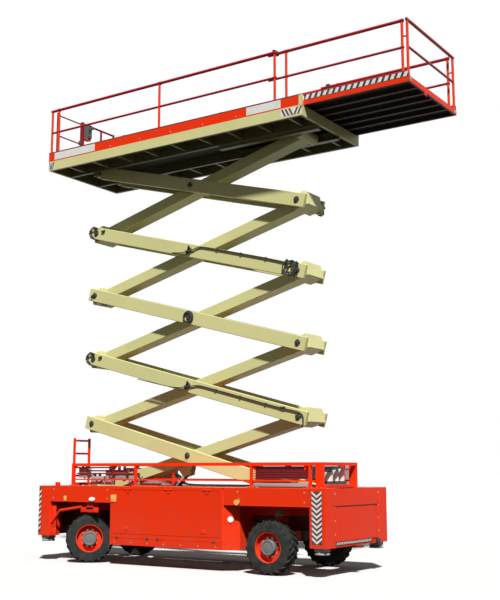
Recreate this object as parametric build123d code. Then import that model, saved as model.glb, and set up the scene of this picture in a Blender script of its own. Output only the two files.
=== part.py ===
"""Self-propelled rough-terrain scissor lift, five scissor levels, roll-out deck extension.

Millimetres, +X towards the front (the end the extension rolls out of), +Z up.
The origin is on the ground, midway along the chassis, on its centre plane.
"""
from build123d import *
from math import atan2, cos, hypot, radians, sin
import os

os.makedirs("parts", exist_ok=True)

# ---------------------------------------------------------------- wheels and steering
wheel_radius = 475
tyre_width = 320
rim_radius = 270
rim_wall = 14
disc_thickness = 30
hub_radius = 130
spindle_radius = 50
spindle_clearance = 0.5
tyre_seat = 0.3
front_axle_x = 2210           # distance of each axle from the middle of the chassis
rear_axle_x = 2310
kingpin_y = 740
wheel_offset = 260            # kingpin axis to the tyre's middle plane
kingpin_radius = 32
kingpin_housing_radius = 75
kingpin_housing_length = 450
kingpin_cap_length = 90
kingpin_cap_radius = 60
knuckle_radius = 68
knuckle_below = 90            # underside of the knuckle below the wheel centre
kingpin_top_gap = 10          # between the kingpin and the end of its bore
kingpin_cap_wall = 60
spindle_past = 60             # end of the spindle past the tyre's middle plane
brace_half_width = 45         # brace from the member to the kingpin housing
brace_z = (300, 420)          # above the underside of the axle
tread_shoulder = (70, 60)     # flat of the tread's shoulder: down the wall, across the tread
bead_shoulder = (40, 35)
rim_inset = 25                # rim's edge in from the tyre's wall
disc_inset = 95               # disc in from the rim's edge
hub_out = 5                   # hub past the rim's outer and the tyre's middle plane
hub_in = 45
hub_bore_y = (-80, 60)
rear_steer_at_rest = 38       # degrees, both rear wheels are left turned
axle_depth = 180
axle_width = 180
axle_rise = 85                # underside of the axle above the wheel centre

# ---------------------------------------------------------------- chassis
chassis_half_length = 3400
chassis_half_width = 1160
chassis_top = 1500
plate = 20
member_inner_y = 400          # longitudinal members, inner and outer face
member_outer_y = 500
member_bottom = 400
member_end_bottom = 560       # ends of the members, past the axles
member_step_in = 700          # steps of the members from each axle, inboard and outboard
member_step_out = 690
end_cross_x = (2980, 3120)    # cross members
end_cross_z = (600, 760)
mid_cross_x = ((300, 450), (1340, 1480))
mid_cross_top = 560
ram_cross = (140, 260)        # cross member behind the foot of the cylinder
ram_cross_rise = 160
web_thickness = 12
arch_rear_x = 1440            # side box end next to the rear wheel
arch_front_x = 1500           # side box end next to the front wheel
arch_top = 1190
web_gap = 20                   # web above the braces of the kingpins
box_bottom = 390
box_wall = 15
box_chamfer_x = 260
box_chamfer_y = 200
skirt_lap = 40                 # front skirt starts this far along the chamfer of the box
door_gap = 6
door_bottom = 600
door_top = 1440
door_thickness = 18
door_end_margin = 80
hinge_radius = 8
hinge_x = (-1000, 0, 900)
knuckle_half = 40              # half length of a hinge knuckle
hinge_play = 0.3
housing_length = 330          # corner housings of the jack legs
housing_width = 300
housing_bottom = 500
housing_wall = 12
housing_edge = 8
collar_thickness = 40
upper_collar = 960
leg_side = 200
leg_wall = 14
leg_clearance = 0.5
leg_top = 1440
leg_floor = 40                # solid foot of the leg
neck_height = 20
neck_radius = 60
pad_radius = 130
pad_thickness = 35
pad_bottom = 385
bulkhead_recess = 12
panel_top = 1180               # stiffening panel of the front end plate
panel_thickness = 12
tow_reach = 75
tow_thickness = 40
tow_root = 200
tow_half_width = 70
tow_eye_radius = 24
tow_eye_margin = 45           # middle of the eye from the tip of the tongue
panel_bottom_rise = 100       # panel above the underside of the end plate
panel_margins = (60, 90, 230)  # panel's near side, far foot and far head from the housings

# ---------------------------------------------------------------- engine and service gear
engine = ((-650, 450), (600, 1060), 1180)          # along, across (from the middle), top
rear_tank = ((-1250, -350), (620, 1080), 1150)
front_tank = ((150, 950), (620, 1080), 1000)
valve_chest = ((-2720, -1480), (760, 1040), 1850)
battery_box = ((1950, 2700), (740, 1060), 1880)
pot_base_x = (2780, 3000)
pot_base_margin = 60          # past the members
pot_base_height = 60
pot_x = 2890
pots = ((300, 340, 70), (110, 320, 60), (-150, 280, 80))   # across, height, radius

# ---------------------------------------------------------------- upper frame and ladder
frame_rear_x = -2985
frame_front_x = 3060
frame_half_width = 650
frame_tube = 60
frame_top = 1955
frame_rail_z = (1610, 1640)
frame_rail_inset = 15
frame_uprights = ((-1290, 40), (1500, 40), (2760, 45))     # start and width
frame_front_post = 150
ladder_y = (-580, -90)
ladder_side = 40
ladder_top = 2480
ladder_rungs = (1700, 1930, 2160, 2430)
rung_radius = 14
step_bottom = 530
step_rungs = (560, 1260, 1460)
step_radius = 12

# ---------------------------------------------------------------- scissor stack
levels = 5
arm_length = 5280             # pin to pin
rest_angle = 15.1             # degrees above level
base_pin_x = -2700            # fixed end; the other end rolls
base_pin_z = 1410
pin_radius = 45
pin_clearance = 0.5
inner_half_width = 170        # box arms between the outer pair
inner_depth = 220
hub_half_width = 295
inner_hub_radius = 150
inner_end_depth = 290          # squared ends of the inner arms
inner_end_length = 320
end_reach = 170                # squared ends of all arms, past the pin
centre_boss_radius = 100
outer_inner_y = 305           # pair of outer beams, inner and outer face
outer_outer_y = 385
outer_depth = 270
deck_end_radius = 115         # round arm ends that reach into the deck frame
deck_end_start = 90           # beams start this far along from the round ends
pin_head = 25
arm_edge = 9
base_roller_radius = 70
deck_roller_radius = 60
roller_gap = 5
track_flange = 15
track_rear_x = -1500
track_front_x = 2760
base_lug_half = 130
base_lug_rise = 100           # lugs above the fixed pin
base_pin_inset = 20
deck_roller_inset = 15

# ---------------------------------------------------------------- lift cylinder
ram_base_x = -1600
ram_base_z = 500
ram_eye_along = 2300          # eye on the first inner arm, along it and below it
ram_eye_below = 250
barrel_radius = 90
barrel_length = 1325
barrel_floor = 110             # where the bore of the barrel starts
ram_rest_stroke = 285          # how far the rod is out of its closed place
rod_radius = 55
eye_radius = 62
ram_pin_radius = 35
eye_half_width = 50
lug_gap = 10
lug_thickness = 25
ram_lug_x = (-140, 70)        # lugs of the foot, from its pin
ram_lug_z = (430, 570)
ram_foot_radius = 75
ram_foot_in = 35              # foot inside the barrel's skin, on each side
barrel_start = 40
rod_end_gap = 20              # rod's end short of the eye's middle
ram_plate_root = 190          # half length of the eye plates at the arm
ram_plate_tip = 80
ram_plate_below = 70          # past the eye
ram_plate_lap = 5             # into the arm
ram_boss_radius = 40
ram_boss_proud = 15

# ---------------------------------------------------------------- deck
deck_rear_x = -3480
deck_front_x = 2970
deck_half_width = 1120
deck_beam = 200
deck_beam_width = 60
deck_pin_rise = 20            # top pins above the underside of the deck frame
floor_thickness = 30
toe_height = 200
toe_thickness = 12
rail_radius = 23
top_rail_radius = 30
post_radius = 25
rail_past = 30                # ends of the top rails past the post
rail_top = 1160               # rail centre lines above the floor
rail_mid = 660
rail_inset = 38               # side rails, from the edge of the deck
rail_end_inset = 38
end_middle_y = 490
end_rail_inset = 200
rail_posts_x = (-3250, -430, 2360)
gate_post_y = -130
gate_post_side = 60
gate_post_proud = 5           # above the top rail
gate_radius = 18
gate_gap = 5
gate_rail_radius = 15
long_beam_inner = 430
long_beam_outer = 490
deck_channel_start = 600
deck_ribs = 9
first_rib = 450               # from the rear of the deck
rib_pitch = 700
rib_thickness = 50
rib_rise = 40
front_upright = 40
upright_gap = 7               # between an upright and the extension
upright_below = 20            # upright below the top of the toe board
channel_gap = 10              # between a roller channel and what runs beside it
deck_lug_half = 90
deck_lug_width = 40
wear_strip_width = 45
wear_strip_past = 50          # past the extension's rear edge when it is in
running_gap = 0.3
hinge_lug_half = 15
hinge_lug_height = 20
hinge_lug_rise = 15           # lowest hinge lug above the floor
hinge_lug_lap = 10
gate_hinge_gap = 0.5
gate_end_gap = 8              # gate to the gate post
gate_top_drop = 30            # top bar of the gate below the top rail
gate_board_half = 6
control_box_x = (30, 130)     # from the gate post's middle
control_box_y = (20, 140)     # from the side of the gate post
control_box_z = (820, 1120)   # above the floor
control_bracket_x = (-20, 60)
control_bracket_z = (790, 1130)

# ---------------------------------------------------------------- extension
ext_rear_x = 1200
ext_front_x = 5100
ext_side_gap = 68             # edge of the extension in from the edge of the deck
ext_slide_gap = 5
ext_depth = 105
ext_travel = 2100
ext_toe = 100
ext_edge_width = 50
ext_end_width = 40
ext_plate = 18
ext_bearers = (-660, -330, 0, 330, 660)
ext_toe_gap = 10              # toe boards of the extension from the front of the main deck
ext_rail_inset = 38
ext_rail_start = 2180         # its side rails run back into the guides on the last main posts
ext_first_post_x = 2575
ext_side_end_inset = 130      # last post of a side rail, from the front edge
ext_end_inset = 30
corner_link_z = 860           # short bar from the side rail to the end rail
corner_link_radius = 14

# ---------------------------------------------------------------- worked out
axle_bottom = wheel_radius + axle_rise
kingpin_housing_top = axle_bottom + kingpin_housing_length
web_bottom = axle_bottom + brace_z[1] + web_gap
kingpin_cap_top = kingpin_housing_top + kingpin_cap_length
rest = radians(rest_angle)
level_height = arm_length * sin(rest)
span = arm_length * cos(rest)
top_pin_z = base_pin_z + levels * level_height
deck_bottom = top_pin_z - deck_pin_rise
floor_z = deck_bottom + deck_beam
track_bottom = base_pin_z - base_roller_radius - roller_gap - track_flange
track_top = base_pin_z + base_roller_radius + roller_gap + track_flange
axle_top = axle_bottom + axle_depth
rail_y = deck_half_width - rail_inset
end_post_y = deck_half_width - end_rail_inset
gate_hinge_y = -end_post_y + post_radius + gate_gap + gate_radius
gate_lugs_z = (floor_z + hinge_lug_rise, floor_z + rail_top + rail_radius - hinge_lug_height)
ext_half_width = deck_half_width - ext_side_gap
ext_rail_y = ext_half_width - ext_rail_inset
ext_floor_z = floor_z + ext_slide_gap + ext_depth
ram_lug_y = eye_half_width + barrel_radius - ram_foot_in
housing_x = chassis_half_length - housing_length
sides = (("right", -1), ("left", 1))
ends = (("front", 1), ("rear", -1))


def block(x, y, z):
    """Box between the low and high value of each axis."""
    size = [hi - lo for lo, hi in (x, y, z)]
    middle = [(hi + lo) / 2 for lo, hi in (x, y, z)]
    return Pos(*middle) * Box(*size)


def side_block(x, y, z, side):
    """Box given for the left side (+Y), put on either side."""
    low, high = sorted((y[0] * side, y[1] * side))
    return block(x, (low, high), z)


def bar(start, end, radius):
    """Round bar between two points."""
    axis = Vector(*end) - Vector(*start)
    plane = Plane(origin=start, z_dir=axis)
    return plane * Cylinder(radius, axis.length, align=(Align.CENTER, Align.CENTER, Align.MIN))


def bar_y(x, z, radius, y0, y1):
    return bar((x, y0, z), (x, y1, z), radius)


def fuse(pieces):
    """One shape from pieces that touch."""
    first, *others = pieces
    return first.fuse(*others) if others else first


def soft_beam(x, y, z, edge):
    """Box-section beam along X with its long edges rounded by small flats."""
    beam = block(x, y, z)
    return chamfer(beam.edges().filter_by(Axis.X), edge)


def prism_xy(points, z0, z1):
    return Pos(0, 0, z0) * extrude(make_face(Polyline(*points, close=True)), z1 - z0, dir=(0, 0, 1))


def prism_xz(points, y0, y1):
    face = make_face(Polyline(*[(x, y0, z) for x, z in points], close=True))
    return extrude(face, y1 - y0, dir=(0, 1, 0))


def prism_yz(points, x0, x1):
    face = make_face(Polyline(*[(x0, y, z) for y, z in points], close=True))
    return extrude(face, x1 - x0, dir=(1, 0, 0))


def save(name, pieces):
    """Write one node; pieces that touch are fused, others stay apart."""
    if isinstance(pieces, (list, tuple)):
        solids = [s for piece in pieces for s in piece.solids()]
        shape = solids[0] if len(solids) == 1 else Compound(children=solids)
    else:
        solids = pieces.solids()
        shape = solids[0] if len(solids) == 1 else Compound(children=list(solids))
    export_step(shape, f"parts/{name}.step")


# ================================================================ chassis

def chassis_frame():
    """Two deep longitudinal members, raised over the axles, tied by cross members."""
    low_end = member_end_bottom
    rear_far, rear_near = -rear_axle_x - member_step_out, -rear_axle_x + member_step_in
    front_near, front_far = front_axle_x - member_step_in, front_axle_x + member_step_out
    tip = chassis_half_length - bulkhead_recess - plate
    outline = [(-tip, low_end), (rear_far, low_end), (rear_far, axle_top), (rear_near, axle_top),
               (rear_near, member_bottom), (front_near, member_bottom), (front_near, axle_top),
               (front_far, axle_top), (front_far, low_end), (tip, low_end),
               (tip, track_bottom), (-tip, track_bottom)]
    members = [prism_xz(outline, *sorted((member_inner_y * s, member_outer_y * s))) for _, s in sides]
    inside = (-member_inner_y, member_inner_y)
    cross = [block(sorted(end * x for x in end_cross_x), inside, end_cross_z) for _, end in ends]
    cross += [block(x, inside, (member_bottom, mid_cross_top)) for x in mid_cross_x]
    near, far = ram_cross
    ram_cross_top = axle_top + ram_cross_rise
    cross.append(block((ram_base_x - far, ram_base_x - near), inside, (member_bottom, ram_cross_top)))
    lug_y = (ram_lug_y, ram_lug_y + lug_thickness)
    lug_x = [ram_base_x + x for x in ram_lug_x]
    lugs = [side_block(lug_x, lug_y, ram_lug_z, s) for _, s in sides]
    pin_end = lug_y[1] + ram_boss_proud
    pin = bar_y(ram_base_x, ram_base_z, ram_pin_radius, -pin_end, pin_end)
    return fuse(members + cross + lugs + [pin])


def body_shell():
    """Top plates, inner webs and skirts over the wheel arches, one welded piece a side."""
    out = []
    inner = member_outer_y
    x_end = chassis_half_length - bulkhead_recess - plate
    under = chassis_top - plate
    for _, s in sides:
        top = side_block((-x_end, x_end), (inner, chassis_half_width), (under, chassis_top), s)
        cut = [side_block(sorted((e * housing_x, e * (chassis_half_length + 1))),
                          (chassis_half_width - housing_width, chassis_half_width + 1),
                          (chassis_top - 2 * plate, chassis_top + 1), s) for _, e in ends]
        web = side_block((-x_end, x_end), (inner, inner + web_thickness), (web_bottom, under), s)
        front = side_block((arch_front_x - box_chamfer_x + skirt_lap, housing_x),
                           (chassis_half_width - plate, chassis_half_width),
                           (arch_top, under), s)
        rear = side_block((-housing_x, -arch_rear_x), (chassis_half_width - plate, chassis_half_width),
                          (arch_top, under), s)
        out.append(fuse([top, web, front, rear]) - cut[0] - cut[1])
    return out


def corner_housing(end, s):
    """Square tube with two collars that guide the jack leg."""
    x0, x1 = sorted((end * housing_x, end * chassis_half_length))
    y_in = chassis_half_width - housing_width
    outer = side_block((x0, x1), (y_in, chassis_half_width), (housing_bottom, chassis_top), s)
    outer = chamfer(outer.edges().filter_by(Axis.Z), housing_edge)
    w = housing_wall
    cavity = side_block((x0 + w, x1 - w), (y_in + w, chassis_half_width - w),
                        (housing_bottom - 1, chassis_top - w), s)
    shell = outer - cavity
    mid_x, mid_y = (x0 + x1) / 2, s * (y_in + chassis_half_width) / 2
    hole = leg_side + 2 * leg_clearance
    for z in (housing_bottom, upper_collar):
        collar = side_block((x0 + w, x1 - w), (y_in + w, chassis_half_width - w),
                            (z, z + collar_thickness), s)
        collar -= Pos(mid_x, mid_y, z) * Box(hole, hole, 3 * collar_thickness)
        shell = shell.fuse(collar)
    return shell


def end_plate(end):
    """Plate between the two corner housings; the front one carries a stiffening panel."""
    y_in = chassis_half_width - housing_width
    face = chassis_half_length - bulkhead_recess
    x0, x1 = sorted((end * (face - plate), end * face))
    pieces = [block((x0, x1), (-y_in, y_in), (housing_bottom, chassis_top))]
    if end > 0:
        side, foot, head = panel_margins
        low = housing_bottom + panel_bottom_rise
        near = side - y_in
        panel = [(near, low), (y_in - foot, low), (y_in - head, panel_top), (near, panel_top)]
        pieces.append(prism_yz(panel, face, face + panel_thickness))
    return fuse(pieces)


def tow_tongue(end):
    """Flat tongue under the end plate, drilled for a tow bar pin."""
    tip = end * (chassis_half_length + tow_reach)
    root = end * (chassis_half_length - bulkhead_recess - tow_root)
    tongue = block(sorted((tip, root)), (-tow_half_width, tow_half_width),
                   (housing_bottom - tow_thickness, housing_bottom))
    eye_x = tip - end * tow_eye_margin
    low = housing_bottom - 2 * tow_thickness
    return tongue - bar((eye_x, 0, low), (eye_x, 0, housing_bottom + 1), tow_eye_radius)


def box_footprint(inset):
    """Plan outline of a side box on the left side, set in by a wall."""
    y0, y1 = member_outer_y + web_thickness + inset, chassis_half_width - inset
    xr, xf = -arch_rear_x + inset, arch_front_x - inset
    k = inset * 0.5
    return [(xr, y0), (xf, y0), (xf, chassis_half_width - box_chamfer_y - k),
            (arch_front_x - box_chamfer_x - k, y1), (xr, y1)]


def door_span():
    return -arch_rear_x + door_end_margin, arch_front_x - box_chamfer_x - door_end_margin


def side_box(s):
    """Hollow box between the wheels, its outer face cut for the lift-up door."""
    def shell(inset, z0, z1):
        points = [(x, y * s) for x, y in box_footprint(inset)]
        return prism_xy(points if s > 0 else points[::-1], z0, z1)
    box = shell(0, box_bottom, chassis_top - plate) - shell(box_wall, box_bottom + box_wall, chassis_top)
    x0, x1 = door_span()
    box -= side_block((x0, x1), (chassis_half_width - 2 * box_wall, chassis_half_width + 1),
                      (door_bottom, door_top), s)
    axis_y, axis_z = door_axis()
    knuckles = []
    for x in hinge_x:
        start = knuckle_half + hinge_play
        for x0, x1 in ((x - 2 * knuckle_half, x - start), (x + start, x + 2 * knuckle_half)):
            knuckles.append(bar((x0, axis_y * s, axis_z), (x1, axis_y * s, axis_z), hinge_radius))
            knuckles.append(side_block((x0, x1), (chassis_half_width, axis_y),
                                       (axis_z, chassis_top - plate), s))
    return fuse([box] + knuckles)


def door_axis():
    return chassis_half_width + hinge_radius + 1, door_top + 6


def side_door(s):
    """Lift-up door, hung from three knuckles on its top edge."""
    x0, x1 = door_span()
    g = door_gap
    panel = side_block((x0 + g, x1 - g), (chassis_half_width - door_thickness, chassis_half_width),
                       (door_bottom + g, door_top - g), s)
    axis_y, axis_z = door_axis()
    leaves = []
    for x in hinge_x:
        span_x = (x - knuckle_half, x + knuckle_half)
        leaves.append(bar((span_x[0], axis_y * s, axis_z), (span_x[1], axis_y * s, axis_z), hinge_radius))
        leaves.append(side_block(span_x, (chassis_half_width, axis_y), (door_top - 60, door_top - g), s))
        leaves.append(side_block(span_x, (axis_y - 6, axis_y), (door_top - g, axis_z), s))
    return fuse([panel] + leaves)


def power_units():
    """Engine and two tanks in the side boxes; valve chest, battery box and filter pots on top."""
    floor = box_bottom + box_wall
    inside = [side_block(x, y, (floor, top), s)
              for (x, y, top), s in ((engine, -1), (rear_tank, 1), (front_tank, 1))]
    on_top = [block(x, y, (chassis_top, top)) for x, y, top in (valve_chest, battery_box)]
    base_y = member_outer_y + pot_base_margin
    base_top = chassis_top + pot_base_height
    base = block(pot_base_x, (-base_y, base_y), (chassis_top, base_top))
    stood = [bar((pot_x, y, base_top), (pot_x, y, chassis_top + height), r) for y, height, r in pots]
    return inside + on_top + [fuse([base] + stood)]


def upper_frame():
    """Open tube frame round the foot of the scissor stack."""
    x0, x1, y1 = frame_rear_x, frame_front_x, frame_half_width
    tube, under = frame_tube, frame_top - frame_tube
    low, inset = (chassis_top, chassis_top + frame_tube), frame_rail_inset
    pieces = []
    for _, s in sides:
        pieces.append(side_block((x0, x1), (y1 - tube, y1), (under, frame_top), s))
        pieces.append(side_block((x0, x1), (y1 - tube + inset, y1 - inset), frame_rail_z, s))
        for x, w in ((x0, tube), *frame_uprights, (x1 - frame_front_post, frame_front_post)):
            pieces.append(side_block((x, x + w), (y1 - tube, y1), (chassis_top, under), s))
    for x in (x0, x1 - tube):
        pieces += [block((x, x + tube), (-y1, y1), z) for z in ((under, frame_top), low)]
    return fuse(pieces)


def ladder(x, z, rungs, rung_x, radius):
    """Two square uprights against a face at x, joined by round rungs."""
    y0, y1 = ladder_y
    rails = [block((x - ladder_side, x), (y, y + ladder_side), z) for y in (y0, y1 - ladder_side)]
    return fuse(rails + [bar_y(rung_x, height, radius, y0, y1) for height in rungs])


def access_ladder():
    """Ladder hoop on the rear of the upper frame, and steps on the rear end plate below it."""
    hoop_middle = frame_rear_x - ladder_side / 2
    hoop = ladder(frame_rear_x, (chassis_top, ladder_top), ladder_rungs, hoop_middle, rung_radius)
    plate_x = bulkhead_recess - chassis_half_length
    rung_x = plate_x - ladder_side + step_radius
    steps = ladder(plate_x, (step_bottom, chassis_top), step_rungs, rung_x, step_radius)
    return [hoop, steps]


def scissor_tracks():
    """Roller channels along both members, and the lugs and pin of the fixed pivot."""
    pieces = []
    x, back = (track_rear_x, track_front_x), member_outer_y - track_flange
    for _, s in sides:
        pieces.append(side_block(x, (back, member_outer_y), (track_bottom, track_top), s))
        for z in (track_bottom, track_top - track_flange):
            pieces.append(side_block(x, (member_inner_y, back), (z, z + track_flange), s))
    tracks = [fuse(pieces[:3]), fuse(pieces[3:])]
    lug_in = hub_half_width + lug_gap
    lugs = [side_block((base_pin_x - base_lug_half, base_pin_x + base_lug_half), (lug_in, member_outer_y),
                       (track_bottom, base_pin_z + base_lug_rise), s) for _, s in sides]
    pin_end = member_outer_y - base_pin_inset
    pin = bar_y(base_pin_x, base_pin_z, pin_radius, -pin_end, pin_end)
    return tracks + [fuse(lugs + [pin])]


def axle_place(end):
    """Distance of an axle from the middle of the chassis, along X."""
    return front_axle_x if end > 0 else -rear_axle_x


def axle(end):
    """Cross beam under the members, a kingpin housing at each end with its cap."""
    x = axle_place(end)
    half = axle_width / 2
    beam = block((x - half, x + half), (-kingpin_y, kingpin_y), (axle_bottom, axle_top))
    pieces = [beam]
    for _, s in sides:
        housing = bar((x, s * kingpin_y, axle_bottom), (x, s * kingpin_y, kingpin_housing_top),
                      kingpin_housing_radius)
        cap = bar((x, s * kingpin_y, kingpin_housing_top), (x, s * kingpin_y, kingpin_cap_top),
                  kingpin_cap_radius)
        brace = side_block((x - brace_half_width, x + brace_half_width), (member_outer_y, kingpin_y),
                           [axle_bottom + z for z in brace_z], s)
        pieces += [housing, cap, brace]
    shape = fuse(pieces)
    bore_top = kingpin_housing_top - kingpin_cap_wall
    for _, s in sides:
        shape -= bar((x, s * kingpin_y, axle_bottom - 1), (x, s * kingpin_y, bore_top),
                     kingpin_radius + pin_clearance)
    return shape


# ================================================================ wheels

def placed(shape, x, y, side, steer):
    """Move a shape modelled about the kingpin, axle line along -Y, to its corner."""
    if side > 0:
        shape = Rot(0, 0, 180) * shape
    return Pos(x, y, 0) * Rot(0, 0, steer) * shape


def knuckle():
    """Stub below the kingpin housing with the wheel spindle."""
    pin_top = kingpin_housing_top - kingpin_cap_wall - kingpin_top_gap
    body = bar((0, 0, wheel_radius - knuckle_below), (0, 0, axle_bottom - 1), knuckle_radius)
    pin = bar((0, 0, axle_bottom - 2), (0, 0, pin_top), kingpin_radius)
    spindle = bar((0, 0, wheel_radius), (0, -wheel_offset - spindle_past, wheel_radius), spindle_radius)
    return fuse([body, pin, spindle])


def tyre():
    """Tractor tyre carcass with rounded shoulders."""
    w, r = tyre_width / 2, wheel_radius
    inner = rim_radius + tyre_seat
    wall, tread = tread_shoulder
    bead_wall, bead = bead_shoulder
    half = [(inner, w - bead), (inner + bead_wall, w), (r - wall, w), (r, w - tread)]
    profile = [(a, -b) for a, b in half] + half[::-1]
    face = make_face(Polyline(*[(a, b, 0) for a, b in profile], close=True))
    ring = revolve(face, Axis.Y, 360)
    return Pos(0, -wheel_offset, wheel_radius) * ring


def rim():
    """Drop-centre rim, dished disc and hub in one."""
    w = tyre_width / 2 - rim_inset
    barrel = bar_y(0, 0, rim_radius, -w, w) - bar_y(0, 0, rim_radius - rim_wall, -w - 1, w + 1)
    disc_y = -w + disc_inset
    disc = bar_y(0, 0, rim_radius - rim_wall / 2, disc_y, disc_y + disc_thickness)
    hub = bar_y(0, 0, hub_radius, -w - hub_out, hub_in)
    shape = fuse([barrel, disc, hub])
    shape -= bar_y(0, 0, spindle_radius + spindle_clearance, *hub_bore_y)
    return Pos(0, -wheel_offset, wheel_radius) * shape


# ================================================================ jack legs

def jack_leg(end, s):
    """Square leg, its foot pad just under the housing when raised."""
    x = end * (housing_x + housing_length / 2)
    y = s * (chassis_half_width - housing_width / 2)
    h = leg_side / 2
    pad_top = pad_bottom + pad_thickness
    leg_bottom = pad_top + neck_height
    leg = block((x - h, x + h), (y - h, y + h), (leg_bottom, leg_top))
    g = h - leg_wall
    leg -= block((x - g, x + g), (y - g, y + g), (leg_bottom + leg_floor, leg_top + 1))
    neck = bar((x, y, pad_top), (x, y, leg_bottom), neck_radius)
    pad = bar((x, y, pad_bottom), (x, y, pad_top), pad_radius)
    return fuse([leg, neck, pad])


# ================================================================ scissor arms

def on_arm(shape, level, rising):
    """Put a shape modelled along +X from its left pin at its place in the stack."""
    if rising:
        z = base_pin_z + (level - 1) * level_height
        return Pos(base_pin_x, 0, z) * Rot(0, -rest_angle, 0) * shape
    z = base_pin_z + level * level_height
    return Pos(base_pin_x, 0, z) * Rot(0, rest_angle, 0) * shape


def squared_end(x, out):
    """End block of an inner arm round the pin at x, reaching out past it."""
    start, stop = sorted((x + out * end_reach, x + out * (end_reach - inner_end_length)))
    half = inner_end_depth / 2
    shape = block((start, stop), (-hub_half_width, hub_half_width), (-half, half))
    return chamfer(shape.edges(), arm_edge)


def inner_arm(level):
    """Box arm rising to the front, an end block or hub at each pin and a hub at the middle."""
    half = inner_depth / 2
    w = inner_half_width
    first, last = level == 1, level == levels
    beam = soft_beam((0, arm_length), (-w, w), (-half, half), arm_edge)
    ends_and_hubs = [bar_y(arm_length / 2, 0, centre_boss_radius, -hub_half_width, hub_half_width)]
    if first:
        ends_and_hubs.append(bar_y(0, 0, inner_hub_radius, -hub_half_width, hub_half_width))
    else:
        ends_and_hubs.append(squared_end(0, -1))
    if last:
        ends_and_hubs.append(bar_y(arm_length, 0, deck_end_radius, -hub_half_width, hub_half_width))
    else:
        ends_and_hubs.append(squared_end(arm_length, 1))
    shape = beam.fuse(*ends_and_hubs)
    bore = pin_radius + pin_clearance
    for x in (0, arm_length / 2) if last else (0, arm_length / 2, arm_length):
        shape -= bar_y(x, 0, bore, -hub_half_width - 1, hub_half_width + 1)
    if last:
        roller_y = outer_outer_y - deck_roller_inset
        rollers = [bar_y(arm_length, 0, deck_roller_radius, *sorted((s * hub_half_width, s * roller_y)))
                   for _, s in sides]
        shape = shape.fuse(*rollers)
    if first:
        gap = eye_half_width + lug_gap
        tip = -ram_eye_below - ram_plate_below
        root = -half + ram_plate_lap
        outline = [(ram_eye_along - ram_plate_root, root), (ram_eye_along + ram_plate_root, root),
                   (ram_eye_along + ram_plate_tip, tip), (ram_eye_along - ram_plate_tip, tip)]
        for _, s in sides:
            shape = shape.fuse(prism_xz(outline, *sorted((s * gap, s * (gap + lug_thickness)))))
            boss = sorted((s * (gap + 5), s * (gap + lug_thickness + ram_boss_proud)))
            shape = shape.fuse(bar_y(ram_eye_along, -ram_eye_below, ram_boss_radius, *boss))
    return on_arm(shape, level, True)


def outer_arm(level):
    """Pair of beams rising to the rear, joined by the pins that run through the inner arms."""
    half = outer_depth / 2
    first, last = level == 1, level == levels
    pieces = []
    for _, s in sides:
        y = sorted((s * outer_inner_y, s * outer_outer_y))
        start = deck_end_start if last else -end_reach
        beam = block((start, arm_length + end_reach), y, (-half, half))
        beam = chamfer(beam.edges(), arm_edge)
        pieces.append(beam.fuse(bar_y(0, 0, deck_end_radius, *y)) if last else beam)
    reach = outer_outer_y + pin_head
    pins = [arm_length / 2]
    if not last:
        pins.append(0)
    if not first:
        pins.append(arm_length)
    pieces += [bar_y(x, 0, pin_radius, -reach, reach) for x in pins]
    if first:
        roller_y = member_outer_y - track_flange - 10
        pieces += [bar_y(arm_length, 0, base_roller_radius, *sorted((s * outer_outer_y, s * roller_y)))
                   for _, s in sides]
    shape = fuse(pieces)
    if last:
        shape -= bar_y(0, 0, pin_radius + pin_clearance, -reach, reach)
    return on_arm(shape, level, False)


# ================================================================ lift cylinder

def ram_eye():
    """Rest position of the rod's eye."""
    x = base_pin_x + ram_eye_along * cos(rest) + ram_eye_below * sin(rest)
    z = base_pin_z + ram_eye_along * sin(rest) - ram_eye_below * cos(rest)
    return x, z


def ram_direction():
    x, z = ram_eye()
    dx, dz = x - ram_base_x, z - ram_base_z
    length = hypot(dx, dz)
    return dx / length, dz / length, length


def along_ram(distance):
    ux, uz, _ = ram_direction()
    return ram_base_x + ux * distance, 0, ram_base_z + uz * distance


def ram_barrel():
    eye_width = ram_lug_y - lug_gap / 2
    eye = bar_y(ram_base_x, ram_base_z, ram_foot_radius, -eye_width, eye_width)
    tube = bar(along_ram(barrel_start), along_ram(barrel_length), barrel_radius)
    shape = fuse([eye, tube])
    shape -= bar_y(ram_base_x, ram_base_z, ram_pin_radius + pin_clearance, -eye_width - 1, eye_width + 1)
    return shape - bar(along_ram(barrel_floor), along_ram(barrel_length + 1), rod_radius + pin_clearance)


def ram_rod():
    x, z = ram_eye()
    _, _, length = ram_direction()
    eye = bar_y(x, z, eye_radius, -eye_half_width, eye_half_width)
    rod = bar(along_ram(barrel_floor + ram_rest_stroke), along_ram(length - rod_end_gap), rod_radius)
    return fuse([eye, rod])


# ================================================================ deck

def deck_frame():
    """Perimeter beams, and the short uprights that close the toe boards at the front."""
    z0, z1 = deck_bottom, floor_z
    w, b = deck_half_width, deck_beam_width
    x0, x1 = deck_rear_x, deck_front_x
    pieces = [side_block((x0, x1), (w - b, w), (z0, z1), s) for _, s in sides]
    pieces += [block((x, x + b), (-w + b, w - b), (z0, z1)) for x in (x0, x1 - b)]
    pieces += [side_block((x1 - front_upright, x1), (ext_half_width + upright_gap, w - toe_thickness),
                          (z1, z1 + toe_height - upright_below), s) for _, s in sides]
    return fuse(pieces)


def deck_rib(number, s):
    """Cross rib between a long beam and the edge beam, under the floor plate."""
    x = deck_rear_x + first_rib + rib_pitch * number
    return side_block((x, x + rib_thickness), (long_beam_outer, deck_half_width - deck_beam_width),
                      (deck_bottom + rib_rise, floor_z - floor_thickness), s)


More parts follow.
